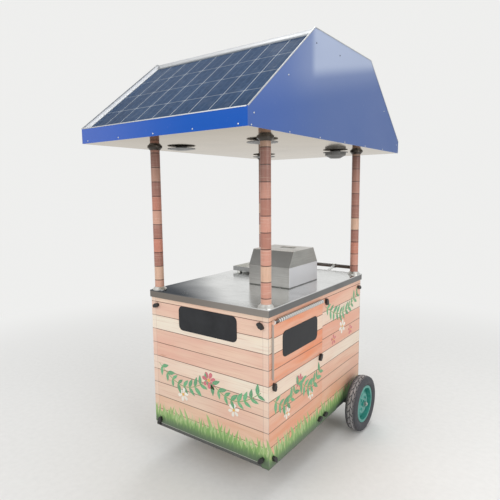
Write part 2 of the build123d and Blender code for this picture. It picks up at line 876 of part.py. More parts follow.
def wheel_rim(x, side):
    """Pressed rim: barrel with flanges, dish set back from the outer flange, hub and dish bolts."""
    dish_face = hub_outer - rim_dish_sink
    dish_back = dish_face - rim_sheet
    dish_radius = rim_dish_diameter / 2
    with BuildPart() as rim:
        with BuildSketch(wheel_plane(x)):
            with BuildLine():
                Polyline((side * -half_rim, flange_radius), (side * (rim_sheet - half_rim), flange_radius),
                         (side * (rim_sheet - half_rim), seat_radius),
                         (side * (half_rim - rim_sheet), seat_radius),
                         (side * (half_rim - rim_sheet), flange_radius), (side * half_rim, flange_radius),
                         (side * half_rim, seat_radius - rim_sheet),
                         (side * -half_rim, seat_radius - rim_sheet), close=True)
            make_face()
            with BuildLine():
                Polyline((side * -rim_dish_back, seat_radius - rim_sheet),
                         (side * (-rim_dish_back - rim_sheet), seat_radius - rim_sheet),
                         (side * dish_back, dish_radius - rim_sheet / 2), (side * dish_back, hub_radius),
                         (side * dish_face, hub_radius), (side * dish_face, dish_radius), close=True)
            make_face()
            with BuildLine():
                Polyline((side * -hub_inner, axle_radius + running_clearance),
                         (side * hub_outer, axle_radius + running_clearance),
                         (side * hub_outer, hub_radius), (side * -hub_inner, hub_radius), close=True)
            make_face()
        revolve(axis=Axis((x, axle_y, axle_z), (1, 0, 0)))
        bolt_plane = Plane(origin=(x + side * dish_face, axle_y, axle_z), x_dir=(0, 1, 0), z_dir=(side, 0, 0))
        with BuildSketch(bolt_plane):
            with PolarLocations(rim_bolt_circle / 2, 4, start_angle=45):
                RegularPolygon(rim_bolt / 2, 6)
        extrude(amount=rim_bolt_height)
    return rim


for name, side in (("right", 1), ("left", -1)):
    tyre = wheel_tyre(side * wheel_x)
    tyre.part.label = f"tyre_{name}"
    export_step(tyre.part, f"parts/tyre_{name}.step")
    rim = wheel_rim(side * wheel_x, side)
    rim.part.label = f"rim_{name}"
    export_step(rim.part, f"parts/rim_{name}.step")

# Castors: bolted top plate with a king pin, fork on the pin, wheel in the fork
castor_radius = castor_wheel_diameter / 2
pin_radius = castor_bolt / 2
crown_top = chassis_height - 2 * castor_sheet - part_gap
crown_bottom = crown_top - castor_sheet
fork_gap = castor_hub_width + 2 * part_gap
fork_width = fork_gap + 2 * fork_leg
castor_axle_y = castor_y + castor_trail


def castor_mount(x):
    """Top plate, bearing race, king pin and its nut, in one piece."""
    with BuildPart() as mount:
        with BuildSketch(along_z(x, castor_y, chassis_height)):
            RectangleRounded(castor_plate_x, castor_plate_y, castor_plate_corner)
        extrude(amount=-castor_sheet)
        with BuildSketch(along_z(x, castor_y, chassis_height - castor_sheet)):
            Circle(castor_race)
        extrude(amount=-castor_sheet)
        with BuildSketch(along_z(x, castor_y, chassis_height - castor_sheet)):
            Circle(pin_radius)
        extrude(amount=crown_bottom - part_gap - castor_sheet - chassis_height)
        with BuildSketch(along_z(x, castor_y, crown_bottom - part_gap)):
            RegularPolygon(castor_nut / 2, 6)
        extrude(amount=-castor_sheet)
    return mount.part


def castor_fork(x):
    """Crown on the king pin, two raked legs and the axle bolt."""
    with BuildPart() as fork:
        with BuildSketch(along_z(x, castor_y, crown_bottom)):
            Rectangle(fork_width, 2 * castor_race)
        extrude(amount=castor_sheet)
        for leg_x in (x - fork_width / 2, x + fork_gap / 2):
            with BuildSketch(along_x(leg_x, castor_y, 0)):
                with Locations((0, crown_bottom + castor_sheet / 2)):
                    Rectangle(2 * castor_race, castor_sheet)
                with Locations((castor_trail, castor_radius)):
                    Circle(castor_eye / 2)
                make_hull()
            extrude(amount=fork_leg)
        with BuildSketch(along_x(x - fork_width / 2 - fork_leg, castor_axle_y, castor_radius)):
            Circle(pin_radius)
        extrude(amount=fork_width + 2 * fork_leg)
        for head_x in (x - fork_width / 2 - fork_leg, x + fork_width / 2):
            with BuildSketch(along_x(head_x, castor_axle_y, castor_radius)):
                RegularPolygon(castor_nut / 2, 6)
            extrude(amount=fork_leg)
        with BuildSketch(along_z(x, castor_y, crown_bottom)):
            Circle(pin_radius + running_clearance)
        extrude(amount=castor_sheet, mode=Mode.SUBTRACT)
    return fork


def castor_wheel(x):
    """Solid wheel with a rounded tread, a thin web and a hub."""
    half = castor_wheel_width / 2
    half_hub = castor_hub_width / 2
    half_web = castor_web / 2
    hub = castor_hub / 2
    bore = pin_radius + running_clearance
    shoulder = castor_radius - castor_shoulder
    band = castor_radius - castor_band
    with BuildPart() as wheel:
        with BuildSketch(Plane(origin=(x, castor_axle_y, castor_radius), x_dir=(1, 0, 0), z_dir=(0, -1, 0))):
            with BuildLine():
                Polyline((half, shoulder), (half, band), (half_web, band - castor_web_draft),
                         (half_web, hub + castor_web_draft), (half_hub, hub), (half_hub, bore),
                         (-half_hub, bore), (-half_hub, hub), (-half_web, hub + castor_web_draft),
                         (-half_web, band - castor_web_draft), (-half, band), (-half, shoulder))
                ThreePointArc((-half, shoulder), (0, castor_radius), (half, shoulder))
            make_face()
        revolve(axis=Axis((x, castor_axle_y, castor_radius), (1, 0, 0)))
    return wheel


save_group("castor_mounts", [castor_mount(-castor_x), castor_mount(castor_x)])
for name, side in (("right", 1), ("left", -1)):
    fork = castor_fork(side * castor_x)
    fork.part.label = f"castor_fork_{name}"
    export_step(fork.part, f"parts/castor_fork_{name}.step")
    wheel = castor_wheel(side * castor_x)
    wheel.part.label = f"castor_wheel_{name}"
    export_step(wheel.part, f"parts/castor_wheel_{name}.step")

# Push handle: one bent tube with a flange on each root
handle_x = handle_span / 2
handle_y = half_depth + handle_reach
handle_height = counter_height + handle_rise
handle_root_z = counter_height - handle_root_drop
root_y = half_depth + handle_root_reach
handle_radius = handle_tube / 2
with BuildPart() as push_handle:
    with BuildLine() as handle_path:
        FilletPolyline((handle_x, half_depth, handle_root_z), (handle_x, root_y, handle_root_z),
                       (handle_x, handle_y, handle_height), (-handle_x, handle_y, handle_height),
                       (-handle_x, root_y, handle_root_z), (-handle_x, half_depth, handle_root_z),
                       radius=handle_bend)
    with BuildSketch(along_y(handle_x, half_depth, handle_root_z)):
        Circle(handle_radius)
        Circle(handle_radius - handle_wall, mode=Mode.SUBTRACT)
    sweep(path=handle_path.line)
    for side in (-1, 1):
        with BuildSketch(along_y(side * handle_x, half_depth, handle_root_z)):
            Circle(handle_flange / 2)
            Circle(handle_radius - handle_wall, mode=Mode.SUBTRACT)
        extrude(amount=handle_flange_thickness)
push_handle.part.label = "push_handle"
export_step(push_handle.part, "parts/push_handle.step")

# Handle stays: flat bars from the apron to a loop round the handle
counter_rear = counter_y / 2
stay_foot_z = counter_height - apron_height + stay_thickness
stay_top_z = counter_height - stay_thickness
with BuildPart() as handle_stays:
    for side in (-1, 1):
        with BuildSketch(along_x(side * stay_x - stay_width / 2, 0, 0)):
            with BuildLine():
                Polyline((counter_rear, stay_foot_z), (counter_rear + stay_thickness, stay_foot_z),
                         (counter_rear + stay_thickness, stay_top_z), (counter_rear, stay_top_z), close=True)
            make_face()
            with BuildLine():
                Polyline((counter_rear, stay_top_z), (counter_rear, stay_top_z - stay_root),
                         (handle_y, handle_height - stay_thickness / 2),
                         (handle_y, handle_height + stay_thickness / 2), close=True)
            make_face()
            with Locations((handle_y, handle_height)):
                Circle(handle_radius + stay_thickness)
                Circle(handle_radius, mode=Mode.SUBTRACT)
        extrude(amount=stay_width)
handle_stays.part.label = "handle_stays"
export_step(handle_stays.part, "parts/handle_stays.step")

# Drop-leaf side table: folded pan whose top edge is rolled into a sleeve on a bent rod
sleeve_radius = sleeve_diameter / 2
table_inside = half_width + table_gap
table_outside = table_inside + table_depth
pivot_x = table_inside + sleeve_radius
table_length = table_rear_y - table_front_y
table_middle_y = (table_front_y + table_rear_y) / 2
with BuildPart() as table_hinge_rod:
    with BuildLine() as rod_path:
        FilletPolyline((frame_x, rod_front_y, table_pivot_z), (pivot_x, rod_front_y, table_pivot_z),
                       (pivot_x, rod_rear_y, table_pivot_z), (frame_x, rod_rear_y, table_pivot_z),
                       radius=rod_bend)
    with BuildSketch(along_x(frame_x, rod_front_y, table_pivot_z)):
        Circle(rod_radius)
    sweep(path=rod_path.line)
table_hinge_rod.part.label = "table_hinge_rod"
export_step(table_hinge_rod.part, "parts/table_hinge_rod.step")

with BuildPart() as side_table:
    pan_plane = along_x(table_outside, table_middle_y, table_bottom_z + table_height / 2)
    with BuildSketch(pan_plane):
        Rectangle(table_length, table_height)
    extrude(amount=-table_depth)
    with BuildSketch(pan_plane.offset(-table_sheet)):
        Rectangle(table_length - 2 * table_sheet, table_height - 2 * table_sheet)
    extrude(amount=table_sheet - table_depth, mode=Mode.SUBTRACT)
    sleeve_plane = along_y(pivot_x, sleeve_front_y, table_pivot_z)
    with BuildSketch(sleeve_plane):
        Circle(sleeve_radius)
    extrude(amount=sleeve_rear_y - sleeve_front_y)
    with BuildSketch(along_y(table_outside - table_sheet / 2, sleeve_front_y, table_top_z)):
        Rectangle(table_sheet, table_pivot_z - table_top_z, align=(Align.CENTER, Align.MIN))
    extrude(amount=sleeve_rear_y - sleeve_front_y)
    with BuildSketch(sleeve_plane):
        Circle(rod_radius + running_clearance)
    extrude(amount=sleeve_rear_y - sleeve_front_y, mode=Mode.SUBTRACT)
    # rounded ear that carries the front edge of the pan up to the level of the hinge
    with BuildSketch(along_y(pivot_x, table_front_y, table_pivot_z)):
        Circle(sleeve_radius)
    extrude(amount=table_sheet)
    with BuildSketch(along_y(table_outside - table_depth / 2, table_front_y, table_top_z)):
        Rectangle(table_depth, table_pivot_z - table_top_z, align=(Align.CENTER, Align.MIN))
    extrude(amount=table_sheet)
side_table.part.label = "side_table"
export_step(side_table.part, "parts/side_table.step")

# Juicer housing: straight lower case and a sloped hood hinged along its rear edge
case_right_x = case_left_x + case_length
case_rear_y = case_front_y + case_depth
case_middle_y = case_front_y + case_depth / 2
case_middle_x = case_left_x + case_length / 2
case_top = counter_height + case_wall_height
hood_top = counter_height + case_height
hood_pivot_y = case_rear_y + hood_pivot_out
hood_pivot_z = case_top + hood_pivot_up
barrel_radius = hinge_barrel / 2
hood_hinge_x = (case_left_x + hood_hinge_inset, case_right_x - hood_hinge_inset)
knuckle = hinge_length / 3
slot_bottom = case_top - slot_top_drop - slot_height
with BuildPart() as juicer_case:
    with BuildSketch(along_z(case_middle_x, case_middle_y, counter_height)):
        Rectangle(case_length, case_depth)
        Rectangle(case_length - 2 * case_sheet, case_depth - 2 * case_sheet, mode=Mode.SUBTRACT)
    extrude(amount=case_wall_height)
    with BuildSketch(along_y(roller_x, case_rear_y - 2 * case_sheet, slot_bottom)):
        Rectangle(slot_length, slot_height, align=(Align.CENTER, Align.MIN))
    extrude(amount=3 * case_sheet, mode=Mode.SUBTRACT)
    for x in hood_hinge_x:
        for outer_x in (x - hinge_length / 2, x + hinge_length / 2 - knuckle):
            with BuildSketch(along_x(outer_x, 0, 0)):
                with BuildLine():
                    Polyline((case_rear_y, case_top - slot_top_drop), (case_rear_y, case_top - hinge_sheet),
                             (hood_pivot_y - hinge_sheet / 2, hood_pivot_z),
                             (hood_pivot_y + hinge_sheet / 2, hood_pivot_z),
                             (case_rear_y + hinge_sheet, case_top - slot_top_drop), close=True)
                make_face()
                with Locations((hood_pivot_y, hood_pivot_z)):
                    Circle(barrel_radius)
            extrude(amount=knuckle)
        with BuildSketch(along_x(x - hinge_length / 2, hood_pivot_y, hood_pivot_z)):
            Circle(hinge_pin / 2)
        extrude(amount=hinge_length)
juicer_case.part.label = "juicer_case"
export_step(juicer_case.part, "parts/juicer_case.step")

# The feed mouth lies above the nip, back along the line that the cane takes into it
nip_y = main_y + main_radius * cos(radians(feed_angle))
nip_z = main_z + main_radius * sin(radians(feed_angle))
feed_slope = radians(feed_angle - 90)
mouth_y = nip_y + (hood_top - nip_z) * cos(feed_slope) / sin(feed_slope)
hood_bottom = case_top + part_gap
hood_profile = [(case_front_y, hood_bottom), (case_rear_y, hood_bottom),
                (case_rear_y - hood_rear_set, hood_top), (case_front_y + hood_front_set, hood_top)]
middle_knuckle = knuckle - 2 * part_gap
with BuildPart() as juicer_hood:
    with BuildSketch(along_x(case_left_x, 0, 0)):
        with BuildLine():
            Polyline(*hood_profile, close=True)
        make_face()
    extrude(amount=case_length)
    offset(amount=-case_sheet, openings=juicer_hood.faces().sort_by(Axis.Z)[0])
    with BuildSketch(along_z(roller_x, mouth_y, hood_top)):
        Rectangle(mouth_length + 2 * chute_sheet, mouth_depth + 2 * chute_sheet)
    extrude(amount=chute_length, dir=(0, -cos(feed_slope), -sin(feed_slope)))
    with BuildSketch(along_z(roller_x, mouth_y, hood_top)):
        Rectangle(mouth_length, mouth_depth)
    extrude(amount=chute_length, dir=(0, -cos(feed_slope), -sin(feed_slope)), mode=Mode.SUBTRACT)
    for x in hood_hinge_x:
        with BuildSketch(along_x(x - middle_knuckle / 2, 0, 0)):
            with Locations((hood_pivot_y, hood_pivot_z)):
                Circle(barrel_radius)
            with BuildLine():
                Polyline((hood_pivot_y, hood_pivot_z - hinge_sheet / 2),
                         (hood_pivot_y, hood_pivot_z + hinge_sheet / 2),
                         (case_rear_y - 2 * case_sheet, hood_pivot_z + hinge_sheet / 2),
                         (case_rear_y - 2 * case_sheet, hood_pivot_z - hinge_sheet / 2), close=True)
            make_face()
            with Locations((hood_pivot_y, hood_pivot_z)):
                Circle(hinge_pin / 2 + running_clearance, mode=Mode.SUBTRACT)
        extrude(amount=middle_knuckle)
juicer_hood.part.label = "juicer_hood"
export_step(juicer_hood.part, "parts/juicer_hood.step")

# Bearing plates: one outline round the three shafts and a foot on the counter
shafts = [(main_y, main_z, main_shaft / 2), (feed_y, feed_z, small_shaft / 2),
          (discharge_y, discharge_z, small_shaft / 2)]


def roller_plate(x):
    """Plate with a bore for each bearing."""
    with BuildPart() as plate:
        with BuildSketch(along_x(x, 0, 0)):
            for y, z, radius in shafts:
                with Locations((y, z)):
                    Circle(radius + bearing_ring + plate_rim)
            with Locations((main_y, counter_height)):
                Rectangle(plate_foot, plate_rim, align=(Align.CENTER, Align.MIN))
            make_hull()
            for y, z, radius in shafts:
                with Locations((y, z)):
                    Circle(radius + bearing_ring, mode=Mode.SUBTRACT)
        extrude(amount=plate_thickness)
    return plate.part


def shaft_bearing(x, y, z, radius):
    """Bearing ring that fills its plate bore and runs on the shaft."""
    with BuildPart() as ring:
        with BuildSketch(along_x(x, y, z)):
            Circle(radius + bearing_ring)
            Circle(radius + running_clearance, mode=Mode.SUBTRACT)
        extrude(amount=plate_thickness)
    return ring.part


plate_places = (left_plate_x, right_plate_x)
save_group("roller_plates", [roller_plate(x) for x in plate_places])
save_group("roller_bearings", [shaft_bearing(x, y, z, radius)
                               for x in plate_places for y, z, radius in shafts])

# Guide plate: a curved sheet under the main roller that leads the cane to the second nip
guide_inner = main_radius + guide_gap
guide_outer = guide_inner + guide_sheet


def on_guide(radius, angle):
    """Point round the main roller's axis, in the Y-Z plane."""
    return main_y + radius * cos(radians(angle)), main_z + radius * sin(radians(angle))


guide_middle = (guide_start + guide_end) / 2
with BuildPart() as guide_plate:
    with BuildSketch(along_x(left_plate_x + plate_thickness, 0, 0)):
        with BuildLine():
            ThreePointArc(on_guide(guide_inner, guide_start), on_guide(guide_inner, guide_middle),
                          on_guide(guide_inner, guide_end))
            Line(on_guide(guide_inner, guide_end), on_guide(guide_outer, guide_end))
            ThreePointArc(on_guide(guide_outer, guide_end), on_guide(guide_outer, guide_middle),
                          on_guide(guide_outer, guide_start))
            Line(on_guide(guide_outer, guide_start), on_guide(guide_inner, guide_start))
        make_face()
    extrude(amount=right_plate_x - left_plate_x - plate_thickness)
guide_plate.part.label = "guide_plate"
export_step(guide_plate.part, "parts/guide_plate.step")


def involute(radius, base):
    """Involute function of the pressure angle at a radius."""
    angle = acos(base / radius)
    return tan(angle) - angle


def gear_outline(teeth, first_tooth):
    """Corners of a spur gear with involute flanks; the first tooth points along first_tooth, in radians."""
    pitch_radius = gear_module * teeth / 2
    base = pitch_radius * cos(radians(pressure_angle))
    tip = pitch_radius + gear_module
    root = pitch_radius - 1.25 * gear_module
    half_tooth = (pi * gear_module - gear_backlash) / (4 * pitch_radius)
    flank = [(max(base, root), max(base, root)), (pitch_radius, pitch_radius), (tip, tip)]
    if root < base:
        flank.insert(0, (root, base))
    half_angles = [(radius, half_tooth + involute(pitch_radius, base) - involute(at, base))
                   for radius, at in flank]
    corners = []
    for tooth in range(teeth):
        middle = first_tooth + 2 * pi * tooth / teeth
        corners += [(radius, middle - half) for radius, half in half_angles]
        corners += [(radius, middle + half) for radius, half in reversed(half_angles)]
    return [(radius * cos(angle), radius * sin(angle)) for radius, angle in corners]


def meshed_tooth(direction):
    """Direction of a small gear's first tooth that puts it in mesh with the main gear."""
    main_phase = (direction - radians(feed_angle)) * main_teeth / (2 * pi)
    return direction + pi - (0.5 - main_phase) * 2 * pi / small_teeth


def roller_body(y, z, radius, flutes, shaft_radius, shaft_left, shaft_right, teeth, first_tooth):
    """Build a fluted roller, its shaft and its gear in the part that is open."""
    with BuildSketch(along_x(shaft_left, y, z)) as shaft:
        Circle(shaft_radius)
    extrude(shaft.sketch, amount=shaft_right - shaft_left)
    with BuildSketch(along_x(roller_left, y, z)) as barrel:
        Circle(radius)
        with PolarLocations(radius, flutes):
            Rectangle(flute_side, flute_side, rotation=45, mode=Mode.SUBTRACT)
    extrude(barrel.sketch, amount=roller_length)
    with BuildSketch(along_x(gear_left, y, z)) as gear:
        with BuildLine():
            Polyline(*gear_outline(teeth, first_tooth), close=True)
        make_face()
    extrude(gear.sketch, amount=gear_width)


def grooved_pulley(x_low, y, z, belt_radius):
    """Build a V-belt pulley in the part that is open."""
    groove_floor = belt_radius - belt_thickness / 2 - belt_gap
    rim_radius = groove_floor + groove_depth
    floor_half = belt_width / 2 + 2 * belt_gap
    middle = pulley_width / 2
    with BuildSketch(Plane(origin=(x_low, y, z), x_dir=(1, 0, 0), z_dir=(0, -1, 0))) as section:
        with BuildLine():
            Polyline((0, 0), (pulley_width, 0), (pulley_width, rim_radius),
                     (middle + floor_half + groove_flare, rim_radius), (middle + floor_half, groove_floor),
                     (middle - floor_half, groove_floor), (middle - floor_half - groove_flare, rim_radius),
                     (0, rim_radius), close=True)
        make_face()
    revolve(section.sketch, axis=Axis((x_low, y, z), (1, 0, 0)))


shaft_end = right_plate_x + plate_thickness + plate_gap
with BuildPart() as main_roller:
    roller_body(main_y, main_z, main_radius, main_flutes, main_shaft / 2, pulley_left, shaft_end,
                main_teeth, radians(feed_angle))
    grooved_pulley(pulley_left, main_y, main_z, belt_radius_main)
main_roller.part.label = "main_roller"
export_step(main_roller.part, "parts/main_roller.step")

with BuildPart() as feed_roller:
    roller_body(feed_y, feed_z, small_radius, small_flutes, small_shaft / 2, gear_left, shaft_end,
                small_teeth, meshed_tooth(radians(feed_angle)))
feed_roller.part.label = "feed_roller"
export_step(feed_roller.part, "parts/feed_roller.step")

with BuildPart() as discharge_roller:
    roller_body(discharge_y, discharge_z, small_radius, small_flutes, small_shaft / 2, gear_left, shaft_end,
                small_teeth, meshed_tooth(radians(discharge_angle)))
discharge_roller.part.label = "discharge_roller"
export_step(discharge_roller.part, "parts/discharge_roller.step")

# Belt loop round both pulleys
with BuildPart() as drive_belt:
    for growth, mode in ((belt_thickness / 2, Mode.ADD), (-belt_thickness / 2, Mode.SUBTRACT)):
        with BuildSketch(along_x(belt_x - belt_width / 2, main_y, main_z)):
            Circle(belt_radius_main + growth)
            with Locations((0, -belt_drop)):
                Circle(belt_radius_motor + growth)
            make_hull()
        extrude(amount=belt_width, mode=mode)
drive_belt.part.label = "drive_belt"
export_step(drive_belt.part, "parts/drive_belt.step")

# Motor pulley on the gearbox shaft
gearbox_face = pulley_left - motor_gap
motor_shaft = small_shaft / 2
with BuildPart() as motor_pulley:
    with BuildSketch(along_x(gearbox_face - gearbox_shaft_depth, main_y, motor_z)):
        Circle(motor_shaft)
    extrude(amount=pulley_left + pulley_width - gearbox_face + gearbox_shaft_depth)
    grooved_pulley(pulley_left, main_y, motor_z, belt_radius_motor)
motor_pulley.part.label = "motor_pulley"
export_step(motor_pulley.part, "parts/motor_pulley.step")

# Gear motor: gearbox, motor barrel with cooling ribs and end bell
gearbox_left = gearbox_face - gearbox_length
motor_radius = motor_diameter / 2
with BuildPart() as gear_motor:
    with BuildSketch(along_x(gearbox_left, main_y, motor_z)):
        RectangleRounded(gearbox_width, gearbox_height, gearbox_corner)
    extrude(amount=gearbox_length)
    with BuildSketch(along_x(gearbox_left - motor_length, main_y, motor_z)):
        Circle(motor_radius - motor_rib_height)
    extrude(amount=motor_length)
    rib_pitch = motor_length / (motor_ribs + 1)
    for rib in range(motor_ribs):
        with BuildSketch(along_x(gearbox_left - rib_pitch * (rib + 1), main_y, motor_z)):
            Circle(motor_radius)
        extrude(amount=motor_rib_width)
    with BuildSketch(along_x(gearbox_face, main_y, motor_z)):
        Circle(motor_shaft + running_clearance)
    extrude(amount=-gearbox_shaft_depth - part_gap, mode=Mode.SUBTRACT)
gear_motor.part.label = "gear_motor"
export_step(gear_motor.part, "parts/gear_motor.step")

# Motor mount: a plate under the gearbox hung from the counter board by two cheeks
mount_x = gearbox_face - (gearbox_length + mount_length) / 2
mount_top = motor_z - gearbox_height / 2
with BuildPart() as motor_mount:
    with BuildSketch(along_x(mount_x, main_y, 0)):
        with Locations((0, mount_top - mount_plate)):
            Rectangle(gearbox_width + 2 * mount_plate, frame_top - mount_top + mount_plate,
                      align=(Align.CENTER, Align.MIN))
        with Locations((0, mount_top)):
            Rectangle(gearbox_width, frame_top - mount_top, align=(Align.CENTER, Align.MIN),
                      mode=Mode.SUBTRACT)
        for side in (-1, 1):
            with Locations((side * (gearbox_width + mount_plate + mount_foot) / 2, frame_top - mount_plate)):
                Rectangle(mount_plate + mount_foot, mount_plate, align=(Align.CENTER, Align.MIN))
    extrude(amount=mount_length)
motor_mount.part.label = "motor_mount"
export_step(motor_mount.part, "parts/motor_mount.step")

# Juice can: shouldered can whose lid has a hole under the drain pipe
can_radius = can_diameter / 2
neck_radius = can_neck_diameter / 2
can_neck_z = floor_top + can_body_height + can_shoulder
can_top = can_neck_z + can_neck_height
drain_bottom = can_top + can_sheet + drain_above_can
with BuildPart() as can_shell:
    with BuildSketch(Plane(origin=(roller_x, drain_y, 0), x_dir=(1, 0, 0), z_dir=(0, -1, 0))):
        with BuildLine():
            Polyline((0, floor_top), (can_radius, floor_top), (can_radius, floor_top + can_body_height),
                     (neck_radius, can_neck_z), (neck_radius, can_top), (0, can_top), close=True)
        make_face()
    revolve(axis=Axis((roller_x, drain_y, 0), (0, 0, 1)))
    offset(amount=-can_sheet, openings=can_shell.faces().sort_by(Axis.Z)[-1])
with BuildPart() as can_cap:
    with BuildSketch(along_z(roller_x, drain_y, can_top)):
        Circle(neck_radius + can_sheet)
        Circle(drain_hole, mode=Mode.SUBTRACT)
    extrude(amount=can_sheet)
    with BuildSketch(along_z(roller_x, drain_y, can_top)):
        Circle(neck_radius + can_sheet)
        Circle(neck_radius, mode=Mode.SUBTRACT)
    extrude(amount=-can_lid)
save_group("juice_can", [can_shell.part, can_cap.part])

# Juice tray between the bearing plates, with its drain through the counter
juice_left = left_plate_x + plate_thickness + part_gap
juice_right = right_plate_x - part_gap
juice_middle_y = (tray_front_y + tray_rear_y) / 2
with BuildPart() as juice_tray:
    with BuildSketch(along_z((juice_left + juice_right) / 2, juice_middle_y, counter_height)):
        Rectangle(juice_right - juice_left, tray_rear_y - tray_front_y)
    extrude(amount=tray_height)
    with BuildSketch(along_z((juice_left + juice_right) / 2, juice_middle_y, counter_height + tray_sheet)):
        Rectangle(juice_right - juice_left - 2 * tray_sheet, tray_rear_y - tray_front_y - 2 * tray_sheet)
    extrude(amount=tray_height - tray_sheet, mode=Mode.SUBTRACT)
    with BuildSketch(along_z(roller_x, drain_y, drain_bottom)):
        Circle(drain_radius)
    extrude(amount=counter_height - drain_bottom)
    with BuildSketch(along_z(roller_x, drain_y, drain_bottom)):
        Circle(drain_radius - drain_wall)
    extrude(amount=counter_height + tray_sheet - drain_bottom, mode=Mode.SUBTRACT)
juice_tray.part.label = "juice_tray"
export_step(juice_tray.part, "parts/juice_tray.step")

# Bagasse tray: a pan beside the juicer with an arm behind it, under the discharge slot, on short feet
pan_z = counter_height + bagasse_foot
arm_front_y = case_rear_y + bagasse_gap
arm_rear_y = arm_front_y + bagasse_arm_depth
pan_corner_x = case_left_x - bagasse_gap


def pan_outline(inset):
    """Corners of the pan and its arm, drawn in by inset."""
    left = bagasse_left_x + inset
    corner = pan_corner_x - inset
    right = bagasse_right_x - inset
    front = bagasse_front_y + inset
    rear = bagasse_rear_y - inset
    arm_front = arm_front_y + inset
    arm_rear = arm_rear_y - inset
    return [(left, front), (corner, front), (corner, arm_front), (right, arm_front), (right, arm_rear),
            (corner, arm_rear), (corner, rear), (left, rear)]


foot_places = [(bagasse_left_x + bagasse_foot_inset, bagasse_front_y + bagasse_foot_inset),
               (pan_corner_x - bagasse_foot_inset, bagasse_front_y + bagasse_foot_inset),
               (bagasse_left_x + bagasse_foot_inset, bagasse_rear_y - bagasse_foot_inset),
               (pan_corner_x - bagasse_foot_inset, bagasse_rear_y - bagasse_foot_inset),
               (bagasse_right_x - bagasse_foot_inset, (arm_front_y + arm_rear_y) / 2)]
with BuildPart() as bagasse_tray:
    with BuildSketch(along_z(0, 0, pan_z)):
        with BuildLine():
            Polyline(*pan_outline(0), close=True)
        make_face()
    extrude(amount=bagasse_height)
    with BuildSketch(along_z(0, 0, pan_z + bagasse_sheet)):
        with BuildLine():
            Polyline(*pan_outline(bagasse_sheet), close=True)
        make_face()
    extrude(amount=bagasse_height - bagasse_sheet, mode=Mode.SUBTRACT)
    with BuildSketch(along_z(0, 0, counter_height)):
        for x, y in foot_places:
            with Locations((x, y)):
                Circle(bagasse_foot_diameter / 2)
    extrude(amount=bagasse_foot)
bagasse_tray.part.label = "bagasse_tray"
export_step(bagasse_tray.part, "parts/bagasse_tray.step")


# Batteries on the cabinet floor: case, wider lid and two terminals each
def battery(x_low):
    """One sealed battery standing on the floor."""
    x = x_low + battery_width / 2
    y = battery_front_y + battery_length / 2
    lid_z = floor_top + battery_height - battery_lid
    with BuildPart() as block:
        with BuildSketch(along_z(x, y, floor_top)):
            RectangleRounded(battery_width - battery_corner, battery_length - battery_corner, battery_corner)
        extrude(amount=battery_height - battery_lid)
        with BuildSketch(along_z(x, y, lid_z)):
            RectangleRounded(battery_width, battery_length, battery_corner)
        extrude(amount=battery_lid)
        with BuildSketch(along_z(x, y, floor_top + battery_height)):
            with GridLocations(0, battery_length - 2 * terminal_inset, 1, 2):
                Circle(terminal_diameter / 2)
        extrude(amount=terminal_height)
    return block.part


save_group("batteries", [battery(battery_left_x + i * battery_spacing) for i in range(2)])

# Charge controller on the inside of the left panel, with a finned back
fin_pitch = controller_length / controller_fins
controller_z = floor_top + controller_lift
with BuildPart() as charge_controller:
    controller_plane = along_x(-frame_x, controller_y, controller_z)
    with BuildSketch(controller_plane):
        Rectangle(controller_length, controller_height)
    extrude(amount=controller_depth)
    with BuildSketch(controller_plane.offset(controller_depth)):
        with GridLocations(fin_pitch, 0, controller_fins - 1, 1):
            Rectangle(fin_pitch / 2, controller_height)
    extrude(amount=-controller_fin_depth, mode=Mode.SUBTRACT)
charge_controller.part.label = "charge_controller"
export_step(charge_controller.part, "parts/charge_controller.step")

# Switch box on the rear panel with a rocker in its pocket
switch_z = counter_height - switch_drop
rocker_pivot_y = half_depth + switch_depth - rocker_sink
pocket_width = rocker_width + 2 * part_gap
with BuildPart() as switch_box:
    box_plane = along_y(switch_x, half_depth, switch_z)
    with BuildSketch(box_plane):
        RectangleRounded(switch_width, switch_box_height, switch_corner)
    extrude(amount=switch_depth)
    with BuildSketch(box_plane.offset(switch_depth)):
        Rectangle(pocket_width, rocker_height + 2 * pocket_margin)
    extrude(amount=-pocket_depth, mode=Mode.SUBTRACT)
    with BuildSketch(along_x(switch_x - rocker_width, rocker_pivot_y, switch_z)):
        Circle(rocker_pin / 2 + running_clearance)
    extrude(amount=2 * rocker_width, mode=Mode.SUBTRACT)
switch_box.part.label = "switch_box"
export_step(switch_box.part, "parts/switch_box.step")

with BuildPart() as power_rocker:
    with BuildSketch(along_x(switch_x - rocker_width / 2, rocker_pivot_y, switch_z)):
        with BuildLine():
            Polyline((-rocker_sink, -rocker_height / 2), (rocker_proud, -rocker_height / 2), (rocker_dip, 0),
                     (rocker_proud, rocker_height / 2), (-rocker_sink, rocker_height / 2), close=True)
        make_face()
    extrude(amount=rocker_width)
    with BuildSketch(along_x(switch_x - rocker_width + part_gap, rocker_pivot_y, switch_z)):
        Circle(rocker_pin / 2)
    extrude(amount=2 * rocker_width - 2 * part_gap)
power_rocker.part.label = "power_rocker"
export_step(power_rocker.part, "parts/power_rocker.step")

# Rear door: a folded pan in the rear panel's opening, on two butt hinges at its left edge
door_left_x = -door_width / 2
hinge_x = door_left_x - door_gap - barrel_radius + hinge_sheet / 2
hinge_y = half_depth + barrel_radius + part_gap
hinge_places = (door_bottom_z + hinge_inset, door_bottom_z + door_height - hinge_inset)
leaf_y = half_depth + hinge_sheet / 2


